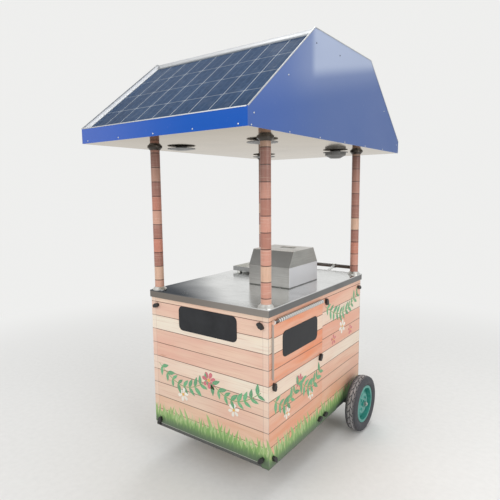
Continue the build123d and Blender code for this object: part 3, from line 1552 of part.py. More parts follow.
def hinge_part(z_low, height, leaf_far, pin_hole):
    """Build one knuckle and the leaf that carries it, in the part that is open."""
    leaf_length = abs(leaf_far - hinge_x)
    with BuildSketch(along_z(0, 0, z_low)) as outline:
        with Locations(((leaf_far + hinge_x) / 2, leaf_y)):
            Rectangle(leaf_length, hinge_sheet)
        with Locations((hinge_x, hinge_y)):
            Circle(barrel_radius)
            if pin_hole:
                Circle(hinge_pin / 2 + running_clearance, mode=Mode.SUBTRACT)
    extrude(outline.sketch, amount=height)


def fixed_hinge(z):
    """Half of a hinge on the rear panel: leaf, two knuckles and the pin."""
    with BuildPart() as half:
        for z_low in (z - hinge_length / 2, z + hinge_length / 2 - knuckle):
            hinge_part(z_low, knuckle, hinge_x - hinge_leaf, False)
        leaf_x = hinge_x - part_gap - (hinge_leaf + barrel_radius) / 2
        with BuildSketch(along_z(leaf_x, leaf_y, z - hinge_length / 2)):
            Rectangle(hinge_leaf - barrel_radius, hinge_sheet)
        extrude(amount=hinge_length)
        with BuildSketch(along_z(hinge_x, hinge_y, z - hinge_length / 2)):
            Circle(hinge_pin / 2)
        extrude(amount=hinge_length)
    return half.part


save_group("door_hinges", [fixed_hinge(z) for z in hinge_places])

pull_x = door_width / 2 - pull_inset
pull_y = half_depth + pull_reach
with BuildPart() as rear_door:
    door_plane = along_y(0, half_depth, door_middle_z)
    with BuildSketch(door_plane):
        Rectangle(door_width, door_height)
    extrude(amount=-door_depth)
    with BuildSketch(door_plane.offset(-door_sheet)):
        Rectangle(door_width - 2 * door_sheet, door_height - 2 * door_sheet)
    extrude(amount=door_sheet - door_depth, mode=Mode.SUBTRACT)
    for z in hinge_places:
        hinge_part(z - middle_knuckle / 2, middle_knuckle, door_left_x + hinge_leaf, True)
    with BuildLine() as pull_path:
        FilletPolyline((pull_x, half_depth, door_middle_z - pull_length / 2),
                       (pull_x, pull_y, door_middle_z - pull_length / 2),
                       (pull_x, pull_y, door_middle_z + pull_length / 2),
                       (pull_x, half_depth, door_middle_z + pull_length / 2), radius=pull_bend)
    with BuildSketch(along_y(pull_x, half_depth, door_middle_z - pull_length / 2)):
        Circle(pull_diameter / 2)
    sweep(path=pull_path.line)
rear_door.part.label = "rear_door"
export_step(rear_door.part, "parts/rear_door.step")
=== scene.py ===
import cmath
import json
import math
import random

import bmesh
import bpy
from mathutils import Matrix, Vector


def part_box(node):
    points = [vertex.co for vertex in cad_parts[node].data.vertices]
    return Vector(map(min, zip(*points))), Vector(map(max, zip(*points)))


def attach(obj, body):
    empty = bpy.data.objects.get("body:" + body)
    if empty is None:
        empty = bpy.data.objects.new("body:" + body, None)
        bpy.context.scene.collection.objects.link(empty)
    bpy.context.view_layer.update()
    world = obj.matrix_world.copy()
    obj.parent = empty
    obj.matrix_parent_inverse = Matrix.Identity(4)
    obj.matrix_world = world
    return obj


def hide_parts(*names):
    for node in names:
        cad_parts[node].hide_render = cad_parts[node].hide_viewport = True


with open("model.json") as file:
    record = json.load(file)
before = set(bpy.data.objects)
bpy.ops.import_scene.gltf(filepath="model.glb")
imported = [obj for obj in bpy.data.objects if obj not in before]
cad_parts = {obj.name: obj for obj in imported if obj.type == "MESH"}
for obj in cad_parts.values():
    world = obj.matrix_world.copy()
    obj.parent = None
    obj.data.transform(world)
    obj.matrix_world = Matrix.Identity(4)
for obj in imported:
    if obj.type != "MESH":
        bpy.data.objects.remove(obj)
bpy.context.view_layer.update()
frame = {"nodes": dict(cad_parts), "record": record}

nodes = frame["nodes"]
scene = bpy.context.scene

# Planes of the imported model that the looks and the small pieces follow
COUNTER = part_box("countertop")[1].z
COUNTER_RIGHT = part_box("countertop")[1].x
PANEL_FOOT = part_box("front_panel")[0].z
FRONT_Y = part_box("front_panel")[0].y
CHASSIS_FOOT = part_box("chassis_frame")[0].z
RIGHT_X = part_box("right_rear_panel")[1].x
LEFT_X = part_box("left_panel")[0].x
REAR_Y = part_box("rear_panel")[1].y
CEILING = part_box("canopy_ends")[0].z
RIDGE_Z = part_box("canopy_ends")[1].z
EAVE_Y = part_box("canopy_ends")[1].y
SKIN_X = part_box("canopy_ends")[1].x
EAVE_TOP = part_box("canopy_fascias")[1].z
GLASS_LOW, GLASS_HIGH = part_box("solar_glass")
MODULE_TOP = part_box("solar_frames")[1].z
TABLE_LOW, TABLE_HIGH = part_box("side_table")
TYRE_LOW, TYRE_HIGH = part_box("tyre_right")
HOOD_LOW, HOOD_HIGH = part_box("juicer_hood")
CASE_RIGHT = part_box("juicer_case")[1].x
TRAY_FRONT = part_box("bagasse_tray")[0].y

# Sizes that the boxes don't give, in metres
SHEET = 0.0015
ROOF_PITCH = math.radians(38.3)
RIDGE_Y = EAVE_Y - (RIDGE_Z - EAVE_TOP) / math.tan(ROOF_PITCH)
MODULE_RIDGE_Y = 0.3257
HOOD_RUN = 0.046
PAN_DEPTH = 0.012
PAN_HEIGHT = 0.268
TABLE_X = TABLE_LOW.x + PAN_DEPTH
PAN_TOP = TABLE_LOW.z + PAN_HEIGHT
AXLE_Y = (TYRE_LOW.y + TYRE_HIGH.y) / 2
AXLE_Z = (TYRE_LOW.z + TYRE_HIGH.z) / 2
WHEEL_X = (TYRE_LOW.x + TYRE_HIGH.x) / 2
TYRE_RADIUS = (TYRE_HIGH.z - TYRE_LOW.z) / 2
FOLD = 0.0014
FOLD_RETURN = 0.042
# Depth of a skin within which a shader takes a point as lying on a face
FACE = 0.0012


def srgb(red, green, blue):
    """Screen colour, 0 to 255, as the linear colour that a shader takes."""
    shares = [c / 255 for c in (red, green, blue)]
    return tuple(((s + 0.055) / 1.055) ** 2.4 if s > 0.04045 else s / 12.92 for s in shares)


def scaled(color, share):
    """A colour made darker or lighter."""
    return tuple(min(1.0, c * share) for c in color)


class Net:
    """One procedural material; sockets and plain numbers can be mixed freely."""

    SOCKETS = {"color": "Base Color", "rough": "Roughness", "metal": "Metallic", "coat": "Coat Weight",
               "coat_rough": "Coat Roughness", "specular": "Specular IOR Level", "ior": "IOR",
               "edge": "Specular Tint"}

    def __init__(self, name):
        self.mat = bpy.data.materials.new(name)
        self.mat.use_nodes = True
        self.tree = self.mat.node_tree
        self.bsdf = self.tree.nodes["Principled BSDF"]
        self.point = self.tree.nodes.new("ShaderNodeTexCoord").outputs["Object"]
        parts = self.new("ShaderNodeSeparateXYZ")
        self.put(parts.inputs[0], self.point)
        self.x, self.y, self.z = parts.outputs

    def new(self, kind, **values):
        node = self.tree.nodes.new(kind)
        for key, value in values.items():
            setattr(node, key, value)
        return node

    def put(self, socket, value):
        if isinstance(value, bpy.types.NodeSocket):
            self.tree.links.new(value, socket)
        elif socket.type == "RGBA":
            socket.default_value = (*value, 1.0)
        else:
            socket.default_value = value

    def op(self, kind, a, b=0.0, c=0.0, clamp=False):
        node = self.new("ShaderNodeMath", operation=kind, use_clamp=clamp)
        for socket, value in zip(node.inputs, (a, b, c)):
            self.put(socket, value)
        return node.outputs[0]

    def plus(self, a, b):
        return self.op("ADD", a, b)

    def minus(self, a, b):
        return self.op("SUBTRACT", a, b)

    def times(self, a, b):
        return self.op("MULTIPLY", a, b)

    def over(self, a, b):
        return self.op("DIVIDE", a, b)

    def line(self, value, slope, start):
        return self.op("MULTIPLY_ADD", value, slope, start)

    def most(self, a, b):
        return self.op("MAXIMUM", a, b)

    def size(self, value):
        return self.op("ABSOLUTE", value)

    def to_middle(self, value):
        """How far a number lies from the middle between two whole numbers, 0 to 0.5."""
        return self.size(self.minus(self.op("FRACT", value), 0.5))

    def length(self, a, b):
        return self.op("SQRT", self.plus(self.times(a, a), self.times(b, b)))

    def stretch(self, scale, shift=(0, 0, 0), point=None):
        """A point scaled, by one number or three, and shifted."""
        node = self.new("ShaderNodeVectorMath", operation="MULTIPLY_ADD")
        self.put(node.inputs[0], point or self.point)
        self.put(node.inputs[1], scale if isinstance(scale, tuple) else (scale,) * 3)
        self.put(node.inputs[2], shift)
        return node.outputs[0]

    def noise(self, scale, detail=3.0, rough=0.5, shift=(0, 0, 0), warp=0.0, point=None):
        node = self.new("ShaderNodeTexNoise")
        self.put(node.inputs["Vector"], self.stretch(scale, shift, point))
        values = {"Scale": 1.0, "Detail": detail, "Roughness": rough, "Distortion": warp}
        for key, value in values.items():
            node.inputs[key].default_value = value
        return node.outputs["Fac"]

    def cells(self, scale, shift=(0, 0, 0)):
        node = self.new("ShaderNodeTexVoronoi")
        self.put(node.inputs["Vector"], self.stretch(scale, shift))
        node.inputs["Scale"].default_value = 1.0
        return node.outputs["Distance"]

    def chance(self, value):
        node = self.new("ShaderNodeTexWhiteNoise", noise_dimensions="1D")
        self.put(node.inputs["W"], value)
        return node.outputs["Value"]

    def span(self, value, low, high, out_low=0.0, out_high=1.0):
        node = self.new("ShaderNodeMapRange", interpolation_type="SMOOTHSTEP")
        for socket, item in zip(node.inputs, (value, low, high, out_low, out_high)):
            self.put(socket, item)
        return node.outputs[0]

    def below(self, value, level, soft=0.0004):
        return self.span(value, level - soft, level + soft, 1.0, 0.0)

    def above(self, value, level, soft=0.0004):
        return self.span(value, level - soft, level + soft)

    def ramp(self, value, stops, mode="LINEAR"):
        node = self.new("ShaderNodeValToRGB")
        band = node.color_ramp
        band.interpolation = mode
        while len(band.elements) < len(stops):
            band.elements.new(1.0)
        for element, (place, color) in zip(band.elements, stops):
            element.position = place
            element.color = (*color, 1.0)
        self.put(node.inputs[0], value)
        return node.outputs[0]

    def tones(self, value, low, high):
        """From one colour to another over the middle of a noise."""
        return self.ramp(value, [(0.3, low), (0.7, high)])

    def steps(self, value, colors):
        """One flat tone after another as the value goes from 0 to 1."""
        return self.ramp(value, [(i / len(colors), color) for i, color in enumerate(colors)], "CONSTANT")

    def mix(self, share, a, b):
        node = self.new("ShaderNodeMix", data_type="RGBA")
        self.put(node.inputs[0], share)
        self.put(node.inputs[6], a)
        self.put(node.inputs[7], b)
        return node.outputs[2]

    def cover(self, tone, mask, share, color):
        """Lays a colour over a tone where the mask is 1, at a share of its strength."""
        return self.mix(self.times(mask, share), tone, color)

    def bump(self, height, strength, distance):
        node = self.new("ShaderNodeBump")
        node.inputs["Strength"].default_value = strength
        node.inputs["Distance"].default_value = distance
        self.put(node.inputs["Height"], height)
        self.put(self.bsdf.inputs["Normal"], node.outputs[0])

    def set(self, **values):
        for key, value in values.items():
            self.put(self.bsdf.inputs[self.SOCKETS[key]], value)
        return self.mat


def paint(name, color, rough=0.4, coat=0.0, wear=(0.35, 0.34, 0.33), wear_share=0.25):
    """Sprayed metal: orange peel, slight mottling and worn specks."""
    net = Net(name)
    mottle = net.noise(9, 4)
    specks = net.span(net.noise(60, 5, 0.7), 0.66, 0.76)
    tone = net.ramp(mottle, [(0.25, scaled(color, 0.82)), (0.75, scaled(color, 1.15))])
    net.bump(net.noise(700, 2), 0.12, 0.0005)
    return net.set(color=net.cover(tone, specks, wear_share, wear),
                   rough=net.span(mottle, 0.2, 0.8, rough - 0.07, rough + 0.1), coat=coat)


def metal_surface(net, color, rough, brush, smudge):
    """Tone and roughness of brushed or rolled metal: fine lines, smudges and a few scratches."""
    lines = net.noise(brush, 3, 0.6)
    cloud = net.noise(5, 4, 0.6, (3.1, 0.4, 7.7))
    tone = net.tones(lines, scaled(color, 0.88), scaled(color, 1.1))
    tone = net.cover(tone, net.span(cloud, 0.45, 0.75), smudge, scaled(color, 0.55))
    scratches = net.span(net.noise((14, 420, 190), 2, 0.5, (1.7, 2.2, 5.1), 0.6), 0.72, 0.8)
    net.bump(net.plus(lines, net.times(scratches, -0.5)), 0.10, 0.0004)
    gloss = net.plus(cloud, net.times(lines, 0.4))
    return tone, net.span(gloss, 0.4, 1.0, rough - 0.06, rough + 0.12)


def steel(name, color, rough, brush, smudge=0.12):
    """Plain metal of one tone."""
    net = Net(name)
    tone, gloss = metal_surface(net, color, rough, brush, smudge)
    return net.set(color=tone, metal=1.0, rough=gloss)


def counter_steel():
    """Folded counter sheet: a bright top with a painted dark reflection towards the front left, and an apron
    with painted shade, darkest on its right face.
    """
    net = Net("counter_steel")
    tone, gloss = metal_surface(net, srgb(224, 225, 224), 0.18, (5, 300, 300), 0.2)
    pool = net.noise(2.2, 2, 0.5, (0.4, 2.0, 0.0))
    tone = net.mix(net.span(pool, 0.5, 0.72, 0.0, 0.25), tone, srgb(172, 172, 170))
    # Painted dark reflection: along this run the top turns dark blue-grey towards the front left
    rubbed = net.plus(net.times(net.x, 0.8), net.line(pool, 0.3, net.y))
    painted_dark_reflection = net.span(rubbed, -0.56, -0.20, 0.9, 0.0)
    tone = net.mix(painted_dark_reflection, tone, srgb(54, 60, 68))
    # Painted shade: the folded apron darker than the top, and its right face darker than its front; its
    # extra roughness is its own finish
    apron = net.below(net.z, COUNTER - 0.004, 0.002)
    right = net.above(net.x, COUNTER_RIGHT - FACE)
    apron_painted_shade = net.mix(right, srgb(134, 127, 120), srgb(98, 97, 96))
    tone = net.cover(tone, apron, 0.9, apron_painted_shade)
    # The painted dark reflection also dims the mirrored light there
    edge = net.cover((1.0, 1.0, 1.0), painted_dark_reflection, 0.9, (0.22, 0.23, 0.25))
    return net.set(color=tone, metal=1.0, rough=net.line(apron, 0.15, gloss), edge=edge)


def hood_steel():
    """Hood sheet: a painted highlight on the top face and painted shade on the front slope."""
    net = Net("hood_steel")
    tone, gloss = metal_surface(net, srgb(164, 164, 160), 0.36, (260, 5, 260), 0.2)
    # Painted shade on the front slope, which is darker than the rest of the hood; its extra roughness is the
    # sheet's own finish
    front = net.below(net.y, HOOD_LOW.y + HOOD_RUN, 0.003)
    slope = net.times(front, net.below(net.z, HOOD_HIGH.z - 0.003, 0.002))
    slope = net.times(slope, net.below(net.x, HOOD_HIGH.x - FACE))
    tone = net.cover(tone, slope, 0.8, srgb(112, 112, 111))
    # Painted highlight: the top face lighter than the rest of the hood
    tone = net.mix(net.above(net.z, HOOD_HIGH.z - FACE, 0.0006), tone, srgb(216, 214, 210))
    return net.set(color=tone, metal=1.0, rough=net.line(slope, 0.1, gloss))


def case_steel():
    """Case sheet: a paler right wall and a ragged line of painted shade along the foot."""
    net = Net("case_steel")
    tone, gloss = metal_surface(net, srgb(162, 161, 158), 0.36, (5, 5, 320), 0.2)
    # The right wall is drawn paler than the other walls
    tone = net.cover(tone, net.above(net.x, CASE_RIGHT - FACE), 0.7, srgb(234, 235, 240))
    # Painted shade: a ragged dark, non-metal line along the foot, where the case meets the counter
    ragged = net.line(net.noise((40, 40, 5), 3), 0.004, COUNTER + 0.003)
    painted_foot_shade = net.below(net.minus(net.z, ragged), 0.0, 0.0015)
    return net.set(color=net.cover(tone, painted_foot_shade, 0.85, srgb(58, 62, 58)), rough=gloss,
                   metal=net.line(painted_foot_shade, -0.8, 1.0))


def tray_steel():
    """Thin bright pan with painted shade on its front wall."""
    net = Net("tray_steel")
    tone, gloss = metal_surface(net, srgb(226, 226, 222), 0.5, (5, 200, 200), 0.1)
    # Painted shade: the front wall darker than the rest of the pan
    front = net.below(net.y, TRAY_FRONT + 0.0008)
    tone = net.cover(tone, front, 0.85, srgb(132, 133, 134))
    return net.set(color=tone, metal=1.0, rough=gloss)


def flange_metal():
    """Cast flanges: bright at the counter, with painted shade on those under the ceiling."""
    net = Net("flange_metal")
    tone, gloss = metal_surface(net, srgb(205, 204, 200), 0.34, 80, 0.3)
    # Painted shade: the flanges that sit under the ceiling turn dark
    high = net.above(net.z, (COUNTER + CEILING) / 2, 0.05)
    return net.set(color=net.mix(high, tone, srgb(84, 80, 76)), metal=1.0, rough=gloss)


def plastic(name, color, rough=0.5, coat=0.0):
    """Moulded plastic with a fine grain, faint flow marks and handling shine."""
    net = Net(name)
    flow = net.noise(30, 4)
    net.bump(net.noise(900, 2, 0.6), 0.2, 0.0004)
    return net.set(color=net.tones(flow, scaled(color, 0.8), scaled(color, 1.2)),
                   rough=net.span(flow, 0.25, 0.8, rough - 0.1, rough + 0.12), coat=coat)


# Printed planks, shared by the panels, the table and the door
PLANK_BASE = COUNTER - 0.605
PLANK_PITCH = 0.0777
PLANKS_BELOW = 3
SALMON = srgb(224, 184, 165)
APRICOT = srgb(224, 194, 174)
CREAM = srgb(234, 224, 207)
TAN = srgb(220, 180, 152)
PLANKS = [TAN, TAN, TAN, APRICOT, APRICOT, CREAM, SALMON, SALMON, CREAM, SALMON, APRICOT, APRICOT]
PLANK_JOINT = srgb(92, 54, 42)
ORANGE = srgb(228, 138, 92)
# Share of the orange that a cream board takes
CALM = 0.3
# Lap of the film at a panel's ends, and how far from a board's middle its joint starts and is full
LAP = 0.030
JOINT_SHARE = (0.470, 0.482)
# Rows of leaf blades, from behind: width, height, spread of heights, lean, tone at the foot and at the tip
BLADES = [(0.034, 0.124, 0.060, 0.34, srgb(116, 154, 90), srgb(162, 190, 122)),
          (0.011, 0.112, 0.070, 0.20, srgb(124, 162, 96), srgb(196, 210, 160)),
          (0.026, 0.104, 0.052, -0.30, srgb(104, 146, 84), srgb(146, 180, 106)),
          (0.009, 0.088, 0.060, -0.24, srgb(112, 152, 88), srgb(182, 202, 144)),
          (0.030, 0.078, 0.042, 0.16, srgb(96, 136, 78), srgb(130, 168, 96)),
          (0.022, 0.052, 0.026, -0.14, srgb(86, 118, 76), srgb(114, 152, 90))]


def planks(net, warm):
    """Plank tone at a point: one tone per board, streaked grain, knots and dark joints."""
    wander = net.times(net.minus(net.noise((3, 3, 8), 2), 0.5), 0.005)
    level = net.over(net.minus(net.plus(net.z, wander), PLANK_BASE), PLANK_PITCH)
    board = net.op("FLOOR", level)
    place = net.over(net.plus(board, PLANKS_BELOW + 0.5), len(PLANKS))
    tone = net.steps(place, PLANKS)
    offset = net.new("ShaderNodeCombineXYZ")
    net.put(offset.inputs[0], net.times(board, 3.7))
    net.put(offset.inputs[1], net.times(board, 5.3))
    moved = net.new("ShaderNodeVectorMath", operation="ADD")
    net.put(moved.inputs[0], net.point)
    net.put(moved.inputs[1], offset.outputs[0])
    broad = net.noise((2.4, 2.4, 16), 3, warp=0.4, point=moved.outputs[0])
    fine = net.noise((5, 5, 170), 4, warp=0.3, point=moved.outputs[0])
    tone = net.mix(net.span(broad, 0.35, 0.75, 0.0, 0.5), tone, srgb(236, 212, 188))
    if warm:
        calm = net.steps(place, [(CALM if color == CREAM else 1.0,) * 3 for color in PLANKS])
        tone = net.cover(tone, net.span(broad, 0.25, 0.6, warm, warm * 0.5), calm, ORANGE)
    flush = net.noise((2.0, 2.0, 3.0), 2, 0.5, (6.0, 2.0, 9.0))
    tone = net.mix(net.span(flush, 0.42, 0.72, 0.0, 0.35), tone, srgb(222, 152, 130))
    tone = net.mix(net.span(fine, 0.5, 0.8, 0.0, 0.45), tone, srgb(196, 140, 112))
    knots = net.cells((2.6, 2.6, 13), (0.3, 0.3, 0.1))
    tone = net.mix(net.span(knots, 0.02, 0.10, 0.35, 0.0), tone, srgb(178, 118, 88))
    joint = net.span(net.to_middle(level), *JOINT_SHARE)
    return net.cover(tone, joint, 0.85, PLANK_JOINT), joint, fine


def grass(net, tone, along, foot):
    """Lays rows of leaf blades over the foot of a panel, the tall pale row behind."""
    height = net.minus(net.z, foot)
    sway = net.times(net.minus(net.noise((11, 11, 3), 2, 0.5, (2.0, 5.0, 1.0)), 0.5), 0.05)
    streak = net.noise((150, 150, 9), 3, 0.6, warp=0.4)
    for row, (width, tall, vary, lean, dark, light) in enumerate(BLADES):
        clump = net.minus(net.noise((6.5, 6.5, 0.01), 2, 0.6, (3.7 * row, 1.9 * row, 0.0)), 0.5)
        bent = net.plus(net.times(height, lean), sway)
        place = net.over(net.plus(along, bent), width)
        luck = net.chance(net.plus(net.op("FLOOR", place), 17.3 * (row + 1)))
        edge = net.line(net.to_middle(place), -2.0, 1.0)
        own = net.times(net.minus(luck, 0.5), vary)
        top = net.plus(net.line(clump, vary * 2.4, tall), own)
        reach = net.times(top, net.op("POWER", edge, 0.42))
        inside = net.span(net.minus(reach, height), 0.0, 0.012)
        shade = net.op("DIVIDE", height, net.most(top, 0.01), clamp=True)
        glow = net.plus(net.times(shade, 0.6), net.times(luck, 0.2))
        glow = net.plus(glow, net.times(streak, 0.35))
        tone = net.mix(inside, tone, net.ramp(glow, [(0.1, dark), (0.95, light)]))
    return net.mix(net.span(height, 0.0, 0.060, 0.85, 0.0), tone, srgb(84, 100, 80))


FRONT_FACE = ("y", -1, FRONT_Y)
REAR_FACE = ("y", 1, REAR_Y)
LEFT_FACE = ("x", -1, LEFT_X)
RIGHT_FACE = ("x", 1, RIGHT_X)
FILM = 0.0008


def film(net, faces):
    """1 on the outer faces that carry the printed film, 0 on backs, cut edges and what stands proud."""
    share = 0.0
    for axis, side, plane in faces:
        out = net.times(getattr(net, axis), side)
        flush = net.times(net.above(out, side * plane - FILM), net.below(out, side * plane + FILM))
        share = net.most(share, flush)
    return share


PALE_HEM = srgb(205, 205, 196)
DARK_HEM = srgb(58, 64, 60)


def printed(name, along, faces, warm=0.0, foot=PANEL_FOOT, hem=PALE_HEM):
    """Printed film on a flat sheet: planks above, leaf blades along the foot, a plain hem below."""
    net = Net(name)
    tone, joint, fine = planks(net, warm)
    if along == "x":
        lap = net.minus(net.size(net.x), RIGHT_X - LAP)
        tone = net.cover(tone, net.above(lap, 0.0, 0.001), 0.22, srgb(240, 222, 208))
        crease = net.span(net.size(lap), 0.0006, 0.0016, 0.4, 0.0)
        tone = net.mix(crease, tone, srgb(150, 112, 96))
    tone = grass(net, tone, net.x if along == "x" else net.y, foot)
    band = net.span(net.z, foot + 0.001, foot + 0.003, 0.8, 0.0)
    if along == "x":
        band = net.times(band, net.below(net.x, RIGHT_X - FOLD_RETURN, 0.002))
    tone = net.mix(band, tone, hem)
    scuff = net.span(net.noise(7, 5, 0.7, (9.2, 4.1, 1.3)), 0.62, 0.8)
    tone = net.cover(tone, scuff, 0.18, srgb(222, 212, 200))
    net.bump(net.plus(net.times(joint, -0.6), net.times(fine, 0.25)), 0.15, 0.0006)
    covered = film(net, faces)
    bare = net.tones(fine, srgb(140, 141, 141), srgb(176, 177, 176))
    tone = net.mix(covered, bare, tone)
    return net.set(color=tone, metal=net.line(covered, -0.8, 0.8),
                   rough=net.span(scuff, 0.0, 1.0, 0.46, 0.6), coat=0.05, coat_rough=0.3)


PAN_EDGE = 0.0006
SLEEVE_RIB = 0.020


def table_print():
    """The folding leaf: planks on the pan, matt steel on its edges and a ribbed rolled sleeve with painted
    shade and highlight on its ribs.
    """
    net = Net("table_print")
    tone, joint, fine = planks(net, 1.0)
    edge = net.most(net.below(net.y, TABLE_LOW.y + PAN_EDGE), net.above(net.y, TABLE_HIGH.y - PAN_EDGE))
    edge = net.most(edge, net.below(net.z, TABLE_LOW.z + PAN_EDGE))
    edge = net.most(edge, net.below(net.x, TABLE_X - FACE))
    sleeve = net.above(net.z, PAN_TOP, 0.0002)
    ribs = net.op("SINE", net.times(net.y, 2 * math.pi / SLEEVE_RIB))
    # Painted shade and highlight on the sleeve: darker in the rib grooves, lighter on the crests; the ribs'
    # relief is the bump
    crest = net.line(ribs, 0.5, 0.5)
    bright = net.ramp(crest, [(0.2, srgb(158, 157, 154)), (0.8, srgb(236, 236, 233))])
    bare = net.most(sleeve, edge)
    net.bump(net.plus(net.times(joint, -0.6), net.times(ribs, sleeve)), 0.25, 0.0008)
    tone = net.mix(sleeve, net.mix(edge, tone, srgb(176, 171, 165)), bright)
    return net.set(color=tone, metal=sleeve, rough=net.span(net.plus(bare, fine), 0.3, 1.6, 0.5, 0.3))


# Ring height of the posts, and how far the first ring lies below the counter on each of the four
POST_RING = 0.0762
POST_START = 0.0191
POST_STEP_X = 0.0060
POST_STEP_Y = -0.0061
POST_TONES = [srgb(190, 124, 104), srgb(164, 112, 98), srgb(208, 170, 146), srgb(168, 114, 98),
              srgb(196, 140, 122), srgb(156, 106, 92), srgb(202, 154, 134)]


def post_print():
    """Printed film round a post: a tone per ring, dark joints, short grain and a shaded top."""
    net = Net("post_print")
    side = net.op("SIGN", net.x)
    end = net.op("SIGN", net.y)
    start = net.plus(net.line(side, POST_STEP_X, POST_START), net.times(end, POST_STEP_Y))
    level = net.over(net.plus(net.minus(net.z, COUNTER), start), POST_RING)
    ring = net.op("FLOOR", level)
    which = net.plus(net.times(side, 40.0), net.times(end, 90.0))
    tone = net.steps(net.chance(net.plus(ring, which)), POST_TONES)
    fine = net.noise((90, 90, 14), 4, 0.6)
    cross = net.noise((12, 12, 260), 3, 0.5)
    tone = net.mix(net.span(fine, 0.5, 0.8, 0.0, 0.4), tone, srgb(138, 100, 80))
    tone = net.mix(net.span(cross, 0.5, 0.75, 0.0, 0.4), tone, srgb(214, 186, 168))
    high = net.span(net.z, COUNTER + 0.30, CEILING)
    tone = net.cover(tone, high, net.line(end, 0.10, 0.55), srgb(88, 64, 56))
    joint = net.span(net.to_middle(level), 0.462, 0.480)
    tone = net.cover(tone, joint, 0.88, srgb(58, 34, 26))
    net.bump(net.times(joint, -1.0), 0.2, 0.0006)
    return net.set(color=tone, rough=net.span(fine, 0.3, 0.7, 0.38, 0.5), coat=0.08, coat_rough=0.25)


# Where the canopy's tones change: drops below the ridge and runs along Y and X; the drops place the painted
# highlight below the ridge
SHEEN_TILT = 0.23
SHEEN_DROP = (0.08, 0.26)
SHEEN_FRONT = -0.62
PATCH_DROP = (0.085, 0.155)
PATCH_RUN = (-RIDGE_Y - 0.045, -RIDGE_Y + 0.02)
FADE_RUN = (-0.52, 0.30)
DEEPER_RUN = (-0.85, -0.15)


def canopy_sheet(name, deep, pale, rough, paling=0.0, deeper=0.0):
    """Coated blue sheet: sag waves, a painted highlight that pales it below the ridge, paler towards the
    left end and deeper blue towards the front, bare inside.
    """
    net = Net(name)
    cloud = net.noise((1.6, 1.6, 2.2), 3, 0.5, (2.0, 1.0, 0.0))
    streak = net.noise((0.8, 0.8, 26), 3, 0.5, (0.0, 0.0, 4.0))
    # Painted highlight: a band and a patch below the ridge pale the sheet
    drop = net.minus(RIDGE_Z, net.line(net.y, -SHEEN_TILT, net.z))
    sheen_band = net.span(drop, *SHEEN_DROP, 0.22, 0.0)
    sheen_band = net.times(sheen_band, net.span(net.y, SHEEN_FRONT, -RIDGE_Y, 0.4, 1.0))
    patch = net.span(drop, *PATCH_DROP, 1.0, 0.0)
    patch = net.times(patch, net.span(net.y, *PATCH_RUN, 0.0, 0.42))
    ridge_sheen = net.plus(sheen_band, net.times(patch, net.span(cloud, 0.3, 0.7, 0.8, 1.1)))
    # Paler towards the left end and deeper blue towards the front
    fade = net.span(net.x, *FADE_RUN, paling, 0.0)
    deep = net.mix(net.span(net.y, *DEEPER_RUN, deeper, 0.0), deep, srgb(54, 92, 172))
    tone = net.mix(net.most(ridge_sheen, fade), deep, pale)
    dust = net.span(net.noise(40, 5, 0.7), 0.6, 0.8)
    tone = net.cover(tone, dust, 0.10, srgb(195, 198, 202))
    inner = net.below(net.size(net.x), SKIN_X - SHEET * 0.6, 0.0002)
    inner = net.times(inner, net.below(net.size(net.y), EAVE_Y - SHEET * 0.6, 0.0002))
    bare = net.tones(streak, srgb(220, 222, 226), srgb(236, 237, 239))
    net.bump(net.noise(4, 2, 0.4), 0.25, 0.004)
    gloss = net.span(cloud, 0.3, 0.7, rough - 0.05, rough + 0.08)
    return net.set(color=net.mix(inner, tone, bare), rough=gloss, ior=1.2)


CELL_COLUMNS = 9
CELL_ROWS = 4
CELL_BARS = 3
CELL_FIELD = 0.610


def solar_cells():
    """Cells under glass: a grid of dark blue cells with pale gaps, thin bus bars and crystal flecks."""
    net = Net("solar_cells")
    column_width = (GLASS_HIGH.x - GLASS_LOW.x) / CELL_COLUMNS
    across = net.over(net.minus(net.x, GLASS_LOW.x), column_width)
    away = net.size(net.y)
    sloped = net.above(away, (MODULE_RIDGE_Y + CELL_FIELD / 2) / 2, 0.001)
    run = net.times(net.minus(GLASS_HIGH.y, away), 1 / math.cos(ROOF_PITCH))
    flat = net.plus(net.y, CELL_FIELD / 2)
    up = net.plus(net.times(run, sloped), net.times(flat, net.minus(1.0, sloped)))
    up = net.over(up, CELL_FIELD / CELL_ROWS)

    def gap(value, half):
        near = net.to_middle(net.plus(value, 0.5))
        return net.span(near, half * 0.6, half, 1.0, 0.0)

    columns = gap(across, 0.014)
    rows = net.times(gap(up, 0.010), net.line(gap(across, 0.22), 0.45, 0.5))
    bars = gap(net.times(net.plus(across, 0.5 / CELL_BARS), CELL_BARS), 0.03)
    flecks = net.plus(net.times(net.cells(55), 0.5), net.noise(2, 2))
    deep = net.ramp(flecks, [(0.25, srgb(34, 52, 78)), (0.6, srgb(44, 64, 92)), (1.0, srgb(58, 80, 110))])
    cell = net.plus(net.op("FLOOR", across), net.times(net.op("FLOOR", up), 13.0))
    deep = net.cover(deep, net.chance(cell), 0.4, srgb(50, 72, 102))
    tone = net.cover(deep, bars, 0.18, srgb(160, 172, 186))
    tone = net.cover(tone, net.most(columns, rows), 0.85, srgb(214, 220, 224))
    dust = net.span(net.noise(14, 5, 0.7, (0.5, 3.0, 2.0)), 0.5, 0.85)
    tone = net.cover(tone, dust, 0.08, srgb(188, 184, 174))
    return net.set(color=tone, rough=net.span(dust, 0.0, 1.0, 0.18, 0.32), ior=1.06)


def module_rail():
    """Anodised module rails: bright short sides, darker long ones."""
    net = Net("module_rail")
    tone, gloss = metal_surface(net, srgb(128, 134, 142), 0.45, (3, 180, 180), 0.1)
    short = net.above(net.size(net.x), GLASS_HIGH.x + 0.001, 0.0006)
    return net.set(color=net.mix(short, tone, srgb(236, 238, 240)), rough=gloss,
                   metal=net.line(short, -0.7, 1.0))


